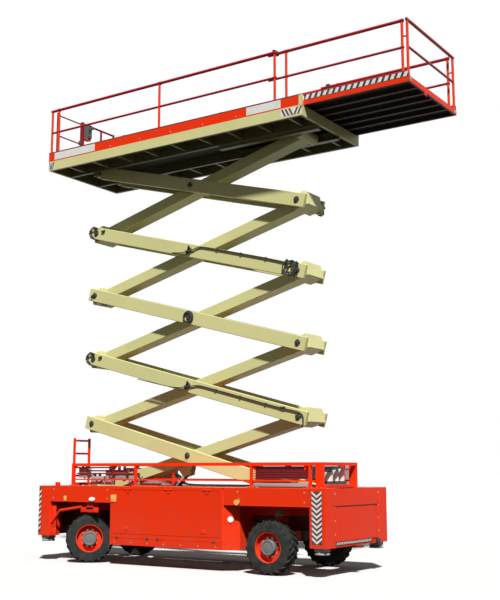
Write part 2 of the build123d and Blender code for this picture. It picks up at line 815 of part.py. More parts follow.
def deck_floor():
    """Floor plate inside the perimeter beams, with a wear strip on each side for the extension."""
    w, b = deck_half_width, deck_beam_width
    x0, x1 = deck_rear_x + b, deck_front_x - b
    pieces = [block((x0, x1), (-w + b, w - b), (floor_z - floor_thickness, floor_z))]
    outer = ext_half_width - ext_slide_gap
    strip_x = (ext_rear_x - ext_travel - wear_strip_past, x1)
    strip_z = (floor_z, floor_z + ext_slide_gap - running_gap)
    pieces += [side_block(strip_x, (outer - wear_strip_width, outer), strip_z, s) for _, s in sides]
    return fuse(pieces)


def deck_channels():
    """Long beams with the roller channels at the front and the pivot lugs and pin at the rear."""
    z0, under = deck_bottom, floor_z - floor_thickness
    x0, x1 = deck_rear_x + deck_beam_width, deck_front_x - deck_beam_width
    channel_bottom = top_pin_z - deck_roller_radius - roller_gap - track_flange
    channel_top = top_pin_z + deck_roller_radius + roller_gap
    channel_x = (deck_channel_start, x1)
    flange_y = (hub_half_width + channel_gap, outer_outer_y)
    lug_x = (base_pin_x - deck_lug_half, base_pin_x + deck_lug_half)
    lug_z = (top_pin_z - deck_lug_half, under)
    near = outer_inner_y - channel_gap
    pieces = []
    for _, s in sides:
        pieces.append(side_block((x0, x1), (long_beam_inner, long_beam_outer), (z0, under), s))
        pieces.append(side_block(channel_x, (outer_outer_y, long_beam_inner),
                                 (channel_bottom, channel_top + track_flange), s))
        for z in (channel_bottom, channel_top):
            pieces.append(side_block(channel_x, flange_y, (z, z + track_flange), s))
        pieces.append(side_block(lug_x, (outer_outer_y + channel_gap, long_beam_inner), lug_z, s))
        pieces.append(side_block(lug_x, (near - deck_lug_width, near), lug_z, s))
    pieces.append(bar_y(base_pin_x, top_pin_z, pin_radius, -long_beam_inner, long_beam_inner))
    return fuse(pieces)


def toe_boards():
    """Red kick plates round the main deck, open at the gate and at the front."""
    z = (floor_z, floor_z + toe_height)
    w, t = deck_half_width, toe_thickness
    out = [side_block((deck_rear_x, deck_front_x), (w - t, w), z, s) for _, s in sides]
    rear = [block((deck_rear_x, deck_rear_x + t), (gate_post_y + gate_post_side / 2, w - t), z),
            block((deck_rear_x, deck_rear_x + t), (-w + t, -end_post_y), z)]
    return [out[0].fuse(rear[1]), out[1].fuse(rear[0])]


def side_rail(x0, x1, y, z, radius):
    """Rail along one side, between two distances from the middle of the chassis."""
    return bar((x0, y, floor_z + z), (x1, y, floor_z + z), radius)


def side_railing(s):
    """Posts, top rail and middle rails of one side, each cut to fit against the next."""
    y = s * rail_y
    first, last = deck_rear_x + rail_end_inset, rail_posts_x[-1]
    top = side_rail(first - rail_past, last + rail_past, y, rail_top, top_rail_radius)
    middle = side_rail(first, last, y, rail_mid, rail_radius)
    posts = [bar((x, y, floor_z), (x, y, floor_z + rail_top), post_radius) - top
             for x in (first, *rail_posts_x)]
    for post in posts:
        middle -= post
    return posts, [top, middle]


def rear_rails():
    """Railing of the rear end beside the gate, and the gate's hinge post."""
    x0 = deck_rear_x + rail_end_inset
    r = rail_radius
    h = gate_post_side / 2
    top = floor_z + rail_top + r
    rear = [bar((x0, gate_post_y, floor_z + z), (x0, end_post_y, floor_z + z), r)
            for z in (rail_top, rail_mid)]
    rear += [bar((x0, end_post_y, floor_z), (x0, end_post_y, top), post_radius),
             bar((x0, end_middle_y, floor_z), (x0, end_middle_y, top - r), post_radius),
             block((x0 - h, x0 + h), (gate_post_y - h, gate_post_y + h), (floor_z, top + gate_post_proud))]
    hinge_post = bar((x0, -end_post_y, floor_z), (x0, -end_post_y, top), post_radius)
    lug_y = (-end_post_y + hinge_lug_lap, gate_hinge_y + gate_radius)
    lugs = [block((x0 - hinge_lug_half, x0 + hinge_lug_half), lug_y, (z, z + hinge_lug_height))
            for z in gate_lugs_z]
    return [fuse(rear), fuse([hinge_post] + lugs)]


def gate():
    """Inward-swinging entry gate with its own kick plate."""
    x = deck_rear_x + rail_end_inset
    low, high = gate_lugs_z[0] + hinge_lug_height + gate_hinge_gap, gate_lugs_z[1] - gate_hinge_gap
    y0, y1 = gate_hinge_y, gate_post_y - gate_post_side / 2 - gate_end_gap - gate_radius
    r = gate_radius
    pieces = [bar((x, y, low), (x, y, high), r) for y in (y0, y1)]
    pieces += [bar((x, y0, floor_z + z), (x, y1, floor_z + z), gate_rail_radius)
               for z in (rail_top - gate_top_drop, rail_mid)]
    pieces.append(block((x - gate_board_half, x + gate_board_half), (y0, y1), (low, floor_z + toe_height)))
    return fuse(pieces)


def platform_controls():
    """Control box hung on the gate post, with its bracket."""
    x = deck_rear_x + rail_end_inset
    post = gate_post_y + gate_post_side / 2
    near, far = control_box_y
    box_x, box_z = [x + a for a in control_box_x], [floor_z + a for a in control_box_z]
    bracket_x, bracket_z = [x + a for a in control_bracket_x], [floor_z + a for a in control_bracket_z]
    box = block(box_x, (post + near, post + far), box_z)
    return fuse([box, block(bracket_x, (post, post + near), bracket_z)])


# ================================================================ extension

def extension_deck():
    """Roll-out platform that rides on runners on the main floor."""
    z0, z1 = floor_z + ext_slide_gap, ext_floor_z
    w, inner = ext_half_width, ext_half_width - ext_edge_width
    x0, x1 = ext_rear_x, ext_front_x
    between = (x0 + ext_end_width, x1 - ext_end_width)
    pieces = [side_block((x0, x1), (inner, w), (z0, z1), s) for _, s in sides]
    pieces += [block((x, x + ext_end_width), (-inner, inner), (z0, z1)) for x in (x0, between[1])]
    pieces.append(block(between, (-inner, inner), (z1 - ext_plate, z1)))
    half = ext_edge_width / 2
    pieces += [block(between, (y - half, y + half), (z0, z1 - ext_plate)) for y in ext_bearers]
    toe_x = (deck_front_x + ext_toe_gap, between[1])
    pieces += [side_block(toe_x, (w - toe_thickness, w), (z1, z1 + ext_toe), s) for _, s in sides]
    return fuse(pieces)


def extension_rails():
    """Railings of the extension: two sides and the front end."""
    side_end, x = ext_front_x - ext_side_end_inset, ext_front_x - ext_end_inset
    top, middle = floor_z + rail_top, floor_z + rail_mid
    link_z = floor_z + corner_link_z
    reach = ext_rail_y + rail_past
    pieces = [bar((x, -reach, top), (x, reach, top), top_rail_radius),
              bar((x, -ext_rail_y, middle), (x, ext_rail_y, middle), rail_radius)]
    for _, s in sides:
        y = s * ext_rail_y
        pieces += [side_rail(ext_rail_start, side_end + rail_past, y, rail_top, top_rail_radius),
                   side_rail(ext_rail_start, side_end, y, rail_mid, rail_radius),
                   bar((side_end, y, link_z), (x, y, link_z), corner_link_radius)]
        pieces += [bar((post_x, y, ext_floor_z), (post_x, y, top), post_radius)
                   for post_x in (ext_first_post_x, side_end, x)]
    return fuse(pieces)


# ================================================================ writing the nodes

save("chassis_frame", chassis_frame())
save("body_shell", body_shell())
save("power_units", power_units())
save("upper_frame", upper_frame())
save("access_ladder", access_ladder())
save("scissor_tracks", scissor_tracks())
for end_name, end in ends:
    save(f"{end_name}_corner_housings", [corner_housing(end, side) for _, side in sides])
save("end_plates", [end_plate(end) for _, end in ends])
save("tow_tongues", [tow_tongue(end) for _, end in ends])
save("axles", [axle(end) for _, end in ends])
save("side_boxes", [side_box(side) for _, side in sides])
for side_name, side in sides:
    save(f"{side_name}_side_door", side_door(side))
for end_name, end in ends:
    steer = rear_steer_at_rest if end < 0 else 0
    for side_name, side in sides:
        corner = f"{end_name}_{side_name}"
        place = (axle_place(end), side * kingpin_y, side, steer)
        save(f"knuckle_{corner}", placed(knuckle(), *place))
        save(f"tyre_{corner}", placed(tyre(), *place))
        save(f"rim_{corner}", placed(rim(), *place))
        save(f"jack_leg_{corner}", jack_leg(end, side))
for level in range(1, levels + 1):
    save(f"inner_arm_{level}", inner_arm(level))
    save(f"outer_arm_{level}", outer_arm(level))
save("lift_cylinder_barrel", ram_barrel())
save("lift_cylinder_rod", ram_rod())
save("deck_frame", deck_frame())
save("deck_ribs", [deck_rib(number, side) for number in range(deck_ribs) for _, side in sides])
save("deck_floor", deck_floor())
save("deck_channels", deck_channels())
save("toe_boards", toe_boards())
railings = [side_railing(side) for _, side in sides]
save("guard_rail_posts", [post for posts, _ in railings for post in posts])
save("guard_rails", [rail for _, rails in railings for rail in rails])
save("rear_guard_rails", rear_rails())
save("entry_gate", gate())
save("platform_controls", platform_controls())
save("extension_deck", extension_deck())
save("extension_rails", extension_rails())
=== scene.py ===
from math import cos, radians, sin

import bpy
from mathutils import Matrix, Vector


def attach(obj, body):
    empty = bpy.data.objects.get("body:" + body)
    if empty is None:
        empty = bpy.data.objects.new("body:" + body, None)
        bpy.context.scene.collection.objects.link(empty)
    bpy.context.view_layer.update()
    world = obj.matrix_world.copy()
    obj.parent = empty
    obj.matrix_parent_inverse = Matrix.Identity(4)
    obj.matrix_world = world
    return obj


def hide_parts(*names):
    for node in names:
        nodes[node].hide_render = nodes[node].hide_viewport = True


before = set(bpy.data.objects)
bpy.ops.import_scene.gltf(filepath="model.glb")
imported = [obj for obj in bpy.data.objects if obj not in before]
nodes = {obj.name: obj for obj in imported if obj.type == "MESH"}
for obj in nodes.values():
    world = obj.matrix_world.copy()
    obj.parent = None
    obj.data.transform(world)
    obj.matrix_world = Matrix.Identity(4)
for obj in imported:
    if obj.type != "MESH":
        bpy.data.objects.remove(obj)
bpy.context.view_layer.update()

# ------------------------------------------------------------ chassis frame and body shell
# Two deep steel members carry top plates and skirts over the wheels, all plate work,
# welded and sprayed in orange-red enamel; the members are a duller red, made near-black as
# painted shade of the wheel arches and the underside.

side_face = 1.16
top_face = 1.5


class Wire:
    """An output of a shader node that takes part in plain arithmetic."""

    def __init__(self, tree, socket=None):
        self.tree = tree
        self.socket = socket

    def node(self, kind, settings, inputs, outlet=0):
        """Any node: its type, its settings, then the values or links of its sockets."""
        made = self.tree.nodes.new(kind)
        for key, value in settings.items():
            setattr(made, key, value)
        for key, value in inputs.items():
            if isinstance(value, Wire):
                self.tree.links.new(value.socket, made.inputs[key])
            else:
                made.inputs[key].default_value = value
        return Wire(self.tree, made.outputs[outlet] if made.outputs else None)

    def math(self, operation, first, second=0.0, clamp=False):
        """One Math node."""
        return self.node("ShaderNodeMath", {"operation": operation, "use_clamp": clamp},
                         {0: first, 1: second})

    def mix(self, factor, first, second):
        """Colour between two colours."""
        return self.node("ShaderNodeMix", {"data_type": "RGBA"}, {0: factor, 6: first, 7: second}, 2)

    def __add__(self, other):
        return self.math("ADD", self, other)

    def __radd__(self, other):
        return self.math("ADD", other, self)

    def __sub__(self, other):
        return self.math("SUBTRACT", self, other)

    def __rsub__(self, other):
        return self.math("SUBTRACT", other, self)

    def __mul__(self, other):
        return self.math("MULTIPLY", self, other)

    def __rmul__(self, other):
        return self.math("MULTIPLY", other, self)

    def __truediv__(self, other):
        return self.math("DIVIDE", self, other)

    def __abs__(self):
        return self.math("ABSOLUTE", self)

    def above(self, level):
        return self.math("GREATER_THAN", self, level)

    def below(self, level):
        return self.math("LESS_THAN", self, level)

    def kept(self):
        """The same value held between 0 and 1."""
        return self.math("ADD", self, 0.0, clamp=True)


def finish(name):
    """A new empty material, the wires that start on it, and the place on the piece in metres."""
    material = bpy.data.materials.new(name)
    material.use_nodes = True
    material.node_tree.nodes.clear()
    wires = Wire(material.node_tree)
    return material, wires, wires.node("ShaderNodeTexCoord", {}, {}, "Object")


def coat(material, wires, inputs):
    """The surface shader from its sockets, joined to the material's output."""
    skin = wires.node("ShaderNodeBsdfPrincipled", {}, inputs)
    wires.node("ShaderNodeOutputMaterial", {}, {"Surface": skin})
    return material


def noise(wires, place, scale, detail, rough=0.5):
    """Soft irregular patches, finer for a larger scale."""
    return wires.node("ShaderNodeTexNoise", {},
                      {"Vector": place, "Scale": scale, "Detail": detail, "Roughness": rough})


def measured(wires, place, axis):
    """The place along one axis, in metres."""
    return wires.node("ShaderNodeSeparateXYZ", {}, {"Vector": place}, axis)


def relief(wires, strength, depth, height):
    """Bumps from a height between 0 and 1."""
    return wires.node("ShaderNodeBump", {}, {"Strength": strength, "Distance": depth, "Height": height})


def tint(colour, gain=1.0, lift=0.0):
    """A colour for a socket, brightened or darkened."""
    return tuple(min(1.0, c * gain + lift) for c in colour) + (1.0,)


def lozenges(wires, place, pitch):
    """Height of rolled chequer plate: short bars that lean one way and the other by turns."""
    half_length, half_width = 0.55, 0.2
    column = measured(wires, place, "X") / pitch
    row = measured(wires, place, "Y") / pitch
    u = wires.math("FRACT", column) - 0.5
    v = wires.math("FRACT", row) - 0.5
    odd = wires.math("FLOORED_MODULO", wires.math("FLOOR", column) + wires.math("FLOOR", row), 2.0)
    lean = odd * 2.0 - 1.0
    length = (u + lean * v) / half_length
    width = (u - lean * v) / half_width
    return (1.0 - length * length - width * width).kept()


def enamel(name, colour, rough=0.34, dust=0.08, chequer_above=None):
    """Sprayed enamel: uneven tone, fine orange peel, scuffs, and dust that settles low down."""
    dust_brown = (0.30, 0.25, 0.19, 1.0)
    material, wires, place = finish(name)
    cloud = noise(wires, place, 1.6, 5.0, 0.62)
    grain = noise(wires, place, 26.0, 4.0, 0.7)
    peel = noise(wires, place, 420.0, 1.0)
    height = measured(wires, place, "Z")
    tone = wires.mix((cloud * 1.6 - 0.4).kept(), tint(colour), tint(colour, 0.88, 0.008))
    low = (1.0 - height * 0.9).kept()
    settled = ((cloud + grain - 0.78).kept() * low * dust * 4.0).kept()
    tone = wires.mix(settled, tone, dust_brown)
    scuff = ((grain - 0.66) * 9.0).kept() * 0.22
    tone = wires.mix(scuff, tone, tint(colour, 0.55))
    skin = peel * 0.25
    if chequer_above is not None:
        skin = skin + lozenges(wires, place, 0.036) * height.above(chequer_above) * 6.0
    return coat(material, wires, {"Base Color": tone,
                                  "Roughness": settled * 0.35 + scuff * 0.6 + cloud * 0.06 + rough,
                                  "Normal": relief(wires, 0.35, 0.0006, skin),
                                  "Specular IOR Level": 0.08})


chequer_level = top_face - 0.0015
shell_red = enamel("shell_red_enamel", (0.85, 0.034, 0.003), chequer_above=chequer_level)
# The members' near-black red is partly painted shade: it darkens the wheel arches and the underside.
frame_red_and_painted_shade = enamel("frame_red_enamel", (0.110, 0.012, 0.009), rough=0.45, dust=0.5)


def dress(node, material):
    """Give a CAD node its finish."""
    piece = nodes[node]
    piece.data.materials.clear()
    piece.data.materials.append(material)


dress("chassis_frame", frame_red_and_painted_shade)
dress("body_shell", shell_red)


def alone(piece=None):
    """Leave nothing selected but the piece, if one is given."""
    bpy.ops.object.select_all(action="DESELECT")
    if piece:
        piece.select_set(True)
        bpy.context.view_layer.objects.active = piece


def block(name, corner, opposite, edge=0.0, steps=2):
    """A block added at its place and size between two opposite corners, its edges rounded over."""
    alone()
    middle = [(a + b) / 2 for a, b in zip(corner, opposite)]
    bpy.ops.mesh.primitive_cube_add(size=1, location=middle,
                                    scale=[abs(b - a) for a, b in zip(corner, opposite)])
    made = bpy.context.object
    made.name = name
    bpy.ops.object.transform_apply(location=True, rotation=True, scale=True)
    if edge:
        bpy.ops.object.mode_set(mode="EDIT")
        bpy.ops.mesh.select_all(action="SELECT")
        bpy.ops.mesh.bevel(offset=edge, segments=steps)
        bpy.ops.object.mode_set(mode="OBJECT")
    return made


def pick(piece, test):
    """Select, in edit mode, only the faces whose middle and normal pass a test."""
    bpy.ops.mesh.select_mode(type="FACE")
    bpy.ops.mesh.select_all(action="DESELECT")
    bpy.ops.object.mode_set(mode="OBJECT")
    for face in piece.data.polygons:
        face.select = test(face.center, face.normal)
    bpy.ops.object.mode_set(mode="EDIT")


def leaning(name, corner, opposite, end, shift, edge=0.0):
    """A block with the face at one end moved, so that it leans."""
    bar = block(name, corner, opposite, edge)
    bpy.ops.object.mode_set(mode="EDIT")
    pick(bar, lambda middle, normal: normal.dot(Vector(end)) > 0.9)
    bpy.ops.transform.translate(value=shift)
    bpy.ops.object.mode_set(mode="OBJECT")
    return bar


def turned(name, start, end, radius, sides=24, edge=0.0, steps=1):
    """A turned bar between two points, its two rims chamfered."""
    alone()
    run = Vector(end) - Vector(start)
    middle = (Vector(start) + Vector(end)) / 2
    bpy.ops.mesh.primitive_cylinder_add(vertices=sides, radius=radius, depth=run.length, location=middle,
                                        rotation=run.to_track_quat("Z", "Y").to_euler())
    made = bpy.context.object
    made.name = name
    bpy.ops.object.transform_apply(location=True, rotation=True, scale=True)
    if edge:
        way = run.normalized()
        bpy.ops.object.mode_set(mode="EDIT")
        pick(made, lambda middle, normal: abs(normal.dot(way)) > 0.9)
        bpy.ops.mesh.bevel(offset=edge, segments=steps)
        bpy.ops.object.mode_set(mode="OBJECT")
    return made


def joined(name, pieces):
    """Several pieces made one."""
    alone()
    for piece in pieces:
        piece.select_set(True)
    bpy.context.view_layer.objects.active = pieces[0]
    if len(pieces) > 1:
        bpy.ops.object.join()
    pieces[0].name = name
    return pieces[0]


def copied(name, piece, places):
    """The piece repeated at each place, every copy with its own mesh, the pattern piece removed."""
    made = []
    for place in places:
        copy = piece.copy()
        copy.data = piece.data.copy()
        copy.data.transform(place)
        bpy.context.collection.objects.link(copy)
        made.append(copy)
    bpy.data.objects.remove(piece)
    return joined(name, made)


def put(x, y, z, turn=0.0):
    """A place: turned about the upright axis by some degrees, then moved."""
    return Matrix.Translation((x, y, z)) @ Matrix.Rotation(radians(turn), 4, "Z")


def outward(x, y, z, side):
    """A place on a side face: what points up is laid over to point out to that side."""
    return Matrix.Translation((x, y, z)) @ Matrix.Rotation(radians(-90 * side), 4, "X")


def fitted(piece, body, material, slot=None):
    """Finish, shading and body of a new piece."""
    alone(piece)
    piece.data.materials.clear()
    piece.data.materials.append(material)
    bpy.ops.object.shade_smooth_by_angle(angle=radians(32))
    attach(piece, body)
    return piece


def bolt(name, radius, height):
    """Hexagon head on a washer, pointing up from the origin."""
    washer = turned(name + "_washer", (0, 0, 0), (0, 0, 0.003), radius * 1.55, 16)
    head = turned(name + "_head", (0, 0, 0.002), (0, 0, height), radius, 6, edge=radius * 0.12)
    return joined(name, [washer, head])


def zinc(name):
    """Zinc-plated steel: mottled, faintly yellowed."""
    plate, stain = (0.46, 0.46, 0.44), (0.33, 0.29, 0.22, 1.0)
    material, wires, place = finish(name)
    mottle = wires.node("ShaderNodeTexVoronoi", {}, {"Vector": place, "Scale": 140.0}, "Distance")
    smoke = noise(wires, place, 14.0, 4.0)
    tone = wires.mix(mottle, tint(plate), tint(plate, 0.72))
    tone = wires.mix((smoke * 1.4 - 0.5).kept(), tone, stain)
    return coat(material, wires, {"Base Color": tone, "Metallic": 0.85, "Roughness": smoke * 0.25 + 0.32})


plated = zinc("zinc_plate")
heads = [outward(x, side * side_face, z, side)
         for side in (-1, 1) for x in (-2.98, -1.53, 1.58, 2.98) for z in (1.26, 1.43)]
fitted(copied("skirt_bolts", bolt("skirt_bolt", 0.009, 0.008), heads), "chassis", plated)

# rolled edges along the lower rims of the skirts
lip_y, lip_z = 1.148, 1.192
lips = [turned("skirt_lip", (x0, side * lip_y, lip_z), (x1, side * lip_y, lip_z), 0.014, 12, edge=0.004)
        for side in (-1, 1) for x0, x1 in ((-3.07, -1.44), (1.5, 3.07))]
fitted(joined("skirt_lips", lips), "chassis", shell_red, "red_paint")

# the rear wheel arches: an upright panel, and a bent bar hung from the skirt over the tyre
arch_panels = []
braces = []
for side in (-1, 1):
    inner, outer = side * 1.085, side * 1.100
    arch_panels += [leaning("arch_panel", (-3.068, inner, 0.66), (-2.958, outer, 1.12), (0, 0, 1),
                            (-0.02, 0, 0), 0.003),
                    block("arch_bar", (-3.068, inner, 0.50), (-2.952, outer, 0.67), 0.003)]
    inner, middle, outer, bar_radius = side * 1.095, side * 1.105, side * 1.115, 0.030
    foot, bend, head = (-3.065, middle, 0.760), (-2.84, middle, 1.005), (-2.25, middle, 1.085)
    braces += [turned("arch_brace", foot, bend, bar_radius, 8, edge=0.004),
               turned("arch_brace", bend, head, bar_radius, 8, edge=0.004),
               block("brace_hanger", (-2.12, inner, 1.04), (-1.93, outer, 1.195), 0.003),
               block("brace_foot", (-2.27, inner, 0.985), (-1.80, outer, 1.085), 0.004)]
fitted(joined("arch_panels", arch_panels), "chassis", shell_red, "red_paint")
fitted(joined("arch_braces", braces), "chassis", shell_red, "red_paint")

# ------------------------------------------------------------ lamps, reflectors and hooks
# Moulded lenses screwed to the skirts, clear for the lamps and amber for the reflectors; the
# round one at the front sits in a black bezel. A red lashing hook is welded on at the rear.

flanks = ((-1, "right"), (1, "left"))


def lens(name, colour):
    """Moulded plastic lens with fine ribs behind a smooth face."""
    material, wires, place = finish(name)
    ribs = wires.node("ShaderNodeTexWave", {"bands_direction": "DIAGONAL"},
                      {"Vector": place, "Scale": 60.0, "Distortion": 0.0})
    return coat(material, wires, {"Base Color": wires.mix(ribs, tint(colour), tint(colour, 1.5, 0.04)),
                                  "Roughness": 0.16, "Coat Weight": 0.6,
                                  "Normal": relief(wires, 0.3, 0.0008, ribs)})


amber = lens("amber_lens", (0.85, 0.30, 0.03))
clear = lens("clear_lens", (0.80, 0.80, 0.78))


def moulded(name, colour):
    """Moulded plastic: a fine even grain and faint bloom."""
    material, wires, place = finish(name)
    grain = noise(wires, place, 600.0, 2.0)
    bloom = noise(wires, place, 9.0, 4.0)
    tone = wires.mix((bloom * 1.5 - 0.45).kept(), tint(colour), tint(colour, 1.8, 0.02))
    return coat(material, wires, {"Base Color": tone, "Roughness": bloom * 0.2 + 0.42,
                                  "Normal": relief(wires, 0.25, 0.0005, grain)})


black_plastic = moulded("black_plastic", (0.022, 0.022, 0.024))

for side, where in flanks:
    face = side * side_face
    x, z, radius = 1.578, 1.255, 0.060
    bezel = turned(f"{where}_front_reflector_bezel", (x, face, z), (x, face + side * 0.010, z),
                   radius + 0.008, 24, edge=0.003)
    fitted(bezel, "chassis", black_plastic)
    dome = turned(f"{where}_front_reflector_dome", (x, face + side * 0.004, z), (x, face + side * 0.020, z),
                  radius, 24, edge=radius * 0.45, steps=4)
    fitted(dome, "chassis", amber)

    x, z, stretch = -1.92, 1.245, 1.9
    oval = turned(f"{where}_rear_lamp", (x, face - 0.004, z), (x, face + side * 0.020, z), 0.042, 24,
                  edge=0.012, steps=3)
    bpy.ops.object.mode_set(mode="EDIT")
    bpy.ops.mesh.select_all(action="SELECT")
    bpy.ops.transform.resize(value=(stretch, 1, 1), center_override=(x, face, z))
    bpy.ops.object.mode_set(mode="OBJECT")
    fitted(oval, "chassis", clear)

    proud = face + side * 0.012
    plate = block(f"{where}_rear_reflector", (-1.43, face, 1.20), (-1.29, proud, 1.34), 0.005)
    fitted(plate, "chassis", amber)
    mark = block(f"{where}_marker", (-2.69, face, 1.20), (-2.62, proud, 1.30), 0.005)
    fitted(mark, "chassis", amber)
    hook = leaning(f"{where}_lashing_hook", (-2.98, face - side * 0.09, top_face - 0.002),
                   (-2.88, face - side * 0.03, 1.575), (0, 0, 1), (-0.03, 0, 0), 0.014)
    fitted(hook, "chassis", shell_red, "red_paint")

# ------------------------------------------------------------ side boxes and doors
# Folded sheet boxes between the wheels hold the engine and the tanks. Each has one long
# lift-up door with two recessed paddle latches, a seam below it, and a round marker lamp.

dress("side_boxes", shell_red)
for side, where in flanks:
    dress(f"{where}_side_door", shell_red)
    face = side * side_face

    latches = []
    for x in (-1.02, 0.82):
        dish = block("latch_dish", (x - 0.055, face - 0.004, 0.655), (x + 0.055, face + 0.004, 0.735), 0.003)
        paddle = block("latch_paddle", (x - 0.042, face, 0.667), (x + 0.042, face + 0.007, 0.722), 0.003)
        latches += [dish, paddle]
    fitted(joined(f"{where}_door_latches", latches), f"{where}_side_door", shell_red, "red_paint")

    seam = block(f"{where}_box_seam", (-1.42, face - 0.004, 0.528), (1.22, face + 0.005, 0.535), 0.002)
    fitted(seam, "chassis", shell_red, "red_paint")
    # Dark blocks on the seam stand for lashing slots: their colour is the painted shade inside the slots.
    painted_slot_shade = [block("lashing_slot", (x - 0.04, face - 0.003, 0.500), (x + 0.04, face + 0.006, 0.558), 0.003)
            for x in (-1.26, -0.50, -0.25, 1.05)]
    fitted(joined(f"{where}_lashing_slots", painted_slot_shade), "chassis", frame_red_and_painted_shade, "dark_red_paint")

    out = Vector((0.61, side * 0.793, 0))
    middle = Vector((1.363, side * 1.0654, 0.933))
    bezel = turned(f"{where}_marker_bezel", middle, middle + out * 0.008, 0.060, 28, edge=0.003)
    fitted(bezel, "chassis", plated)
    dome = turned(f"{where}_marker_lens", middle + out * 0.006, middle + out * 0.022, 0.051, 28,
                  edge=0.014, steps=3)
    fitted(dome, "chassis", clear)

    heads = [outward(x, face, 0.44, side) for x in (-1.3, -0.9, -0.5, -0.1, 0.3, 0.7, 1.1)]
    fitted(copied(f"{where}_box_bolts", bolt("box_bolt", 0.008, 0.007), heads), "chassis", plated)

# ------------------------------------------------------------ corner housings and hazard bands
# Square tubes at the four corners guide the jack legs. Their outer faces carry reflective
# film: chevrons at the front, slanted bars at the rear, each cut from sheet and stuck on.

dress("front_corner_housings", shell_red)
dress("rear_corner_housings", shell_red)
dress("tow_tongues", frame_red_and_painted_shade)


def film(name, colour, rough):
    """Reflective film: a faint honeycomb of cells, lightly soiled."""
    soil_brown = (0.32, 0.29, 0.25, 1.0)
    material, wires, place = finish(name)
    cells = wires.node("ShaderNodeTexVoronoi", {"feature": "DISTANCE_TO_EDGE"},
                       {"Vector": place, "Scale": 260.0}, "Distance")
    soil = noise(wires, place, 11.0, 5.0)
    tone = wires.mix((cells * 6.0).kept() * 0.3, tint(colour, 0.8), tint(colour))
    tone = wires.mix((soil - 0.5).kept() * 0.8, tone, soil_brown)
    return coat(material, wires, {"Base Color": tone, "Roughness": soil * 0.3 + rough})


white_film = film("white_film", (0.84, 0.84, 0.82), 0.2)
black_film = film("black_film", (0.012, 0.012, 0.014), 0.3)
maroon_film = film("maroon_film", (0.095, 0.010, 0.016), 0.3)

for side, where in flanks:
    face = side * side_face
    backing_out, bar_in, bar_out = face + side * 0.0015, face + side * 0.001, face + side * 0.0025

    backing = block(f"{where}_chevron_backing", (3.115, face, 0.56), (3.325, backing_out, 1.45), 0.0006, 1)
    fitted(backing, "chassis", maroon_film)
    pitch, tall, drop = 0.086, 0.042, (0, 0, -0.075)
    halves = []
    for row in range(10):
        z = 0.645 + pitch * row
        halves += [leaning("chevron_half", (x0, bar_in, z), (x1, bar_out, z + tall), (end, 0, 0), drop)
                   for x0, x1, end in ((3.122, 3.220, 1), (3.220, 3.318, -1))]
    fitted(joined(f"{where}_chevrons", halves), "chassis", white_film)

    backing = block(f"{where}_slant_backing", (-3.390, face, 0.56), (-3.325, backing_out, 1.47), 0.0006, 1)
    fitted(backing, "chassis", black_film)
    pitch = 0.104
    slants = [leaning("slant", (-3.388, bar_in, 0.60 + pitch * row), (-3.327, bar_out, 0.645 + pitch * row),
                      (1, 0, 0), (0, 0, 0.05)) for row in range(8)]
    fitted(joined(f"{where}_slants", slants), "chassis", white_film)

# ------------------------------------------------------------ end plates
# Folded sheet plates that close the two ends between the housings, bolted on. Each has a
# reflective strip along its lower edge, a pressed fold marked by a dark bar of painted
# shade, a rib, and a black socket box.

dress("end_plates", shell_red)
plate_face, front_skin = 3.388, 3.400
for end, where in ((1, "front"), (-1, "rear")):
    face = end * plate_face
    near = face if end < 0 else front_skin
    proud, pitch = near + end * 0.0015, 0.062
    bars = [leaning("edge_slant", (near, -0.80 + pitch * i, 0.545), (proud, -0.772 + pitch * i, 0.585),
                    (0, 0, 1), (0, 0.03, 0)) for i in range(21)]
    strip = block(f"{where}_edge_strip", (near, -0.82, 0.540), (near + end * 0.0008, 0.56, 0.590), 0.0004, 1)
    fitted(strip, "chassis", maroon_film)
    fitted(joined(f"{where}_edge_slants", bars), "chassis", white_film)

    box = block(f"{where}_socket_box", (face, 0.70, 0.505), (face + end * 0.06, 0.80, 0.590), 0.010)
    lid = block("socket_lid", (face + end * 0.056, 0.715, 0.517), (face + end * 0.072, 0.785, 0.578), 0.006)
    fitted(joined(f"{where}_socket_box", [box, lid]), "chassis", black_plastic)

    heads = [Matrix.Translation((face, y, z)) @ Matrix.Rotation(radians(90 * end), 4, "Y")
             for y in (-0.82, 0.82) for z in (0.72, 0.95, 1.18, 1.41)]
    fitted(copied(f"{where}_plate_bolts", bolt("plate_bolt", 0.011, 0.009), heads), "chassis", plated)

    # The fold is a dark bar: painted shade along the crease.
    fold_shade = turned(f"{where}_plate_fold_shade", (face, -0.85, 1.195), (face, 0.80, 1.195), 0.011, 12, edge=0.003)
    fitted(fold_shade, "chassis", frame_red_and_painted_shade, "dark_red_paint")
    x = face + end * 0.004
    rib = turned(f"{where}_plate_rib", (x, 0.650, 1.17), (x, 0.760, 0.72), 0.010, 12, edge=0.003)
    fitted(rib, "chassis", shell_red, "red_paint")

# ------------------------------------------------------------ engine, tanks and service gear
# The engine and tanks sit inside the side boxes. The valve chest and the battery box stand on
# the top plates in ribbed grey sheet with clipped lids, and three white filter pots with black
# caps stand at the front; hoses run between them.

machine_grey = enamel("machine_grey_enamel", (0.33, 0.34, 0.34), rough=0.42, dust=0.1)
dress("power_units", machine_grey)

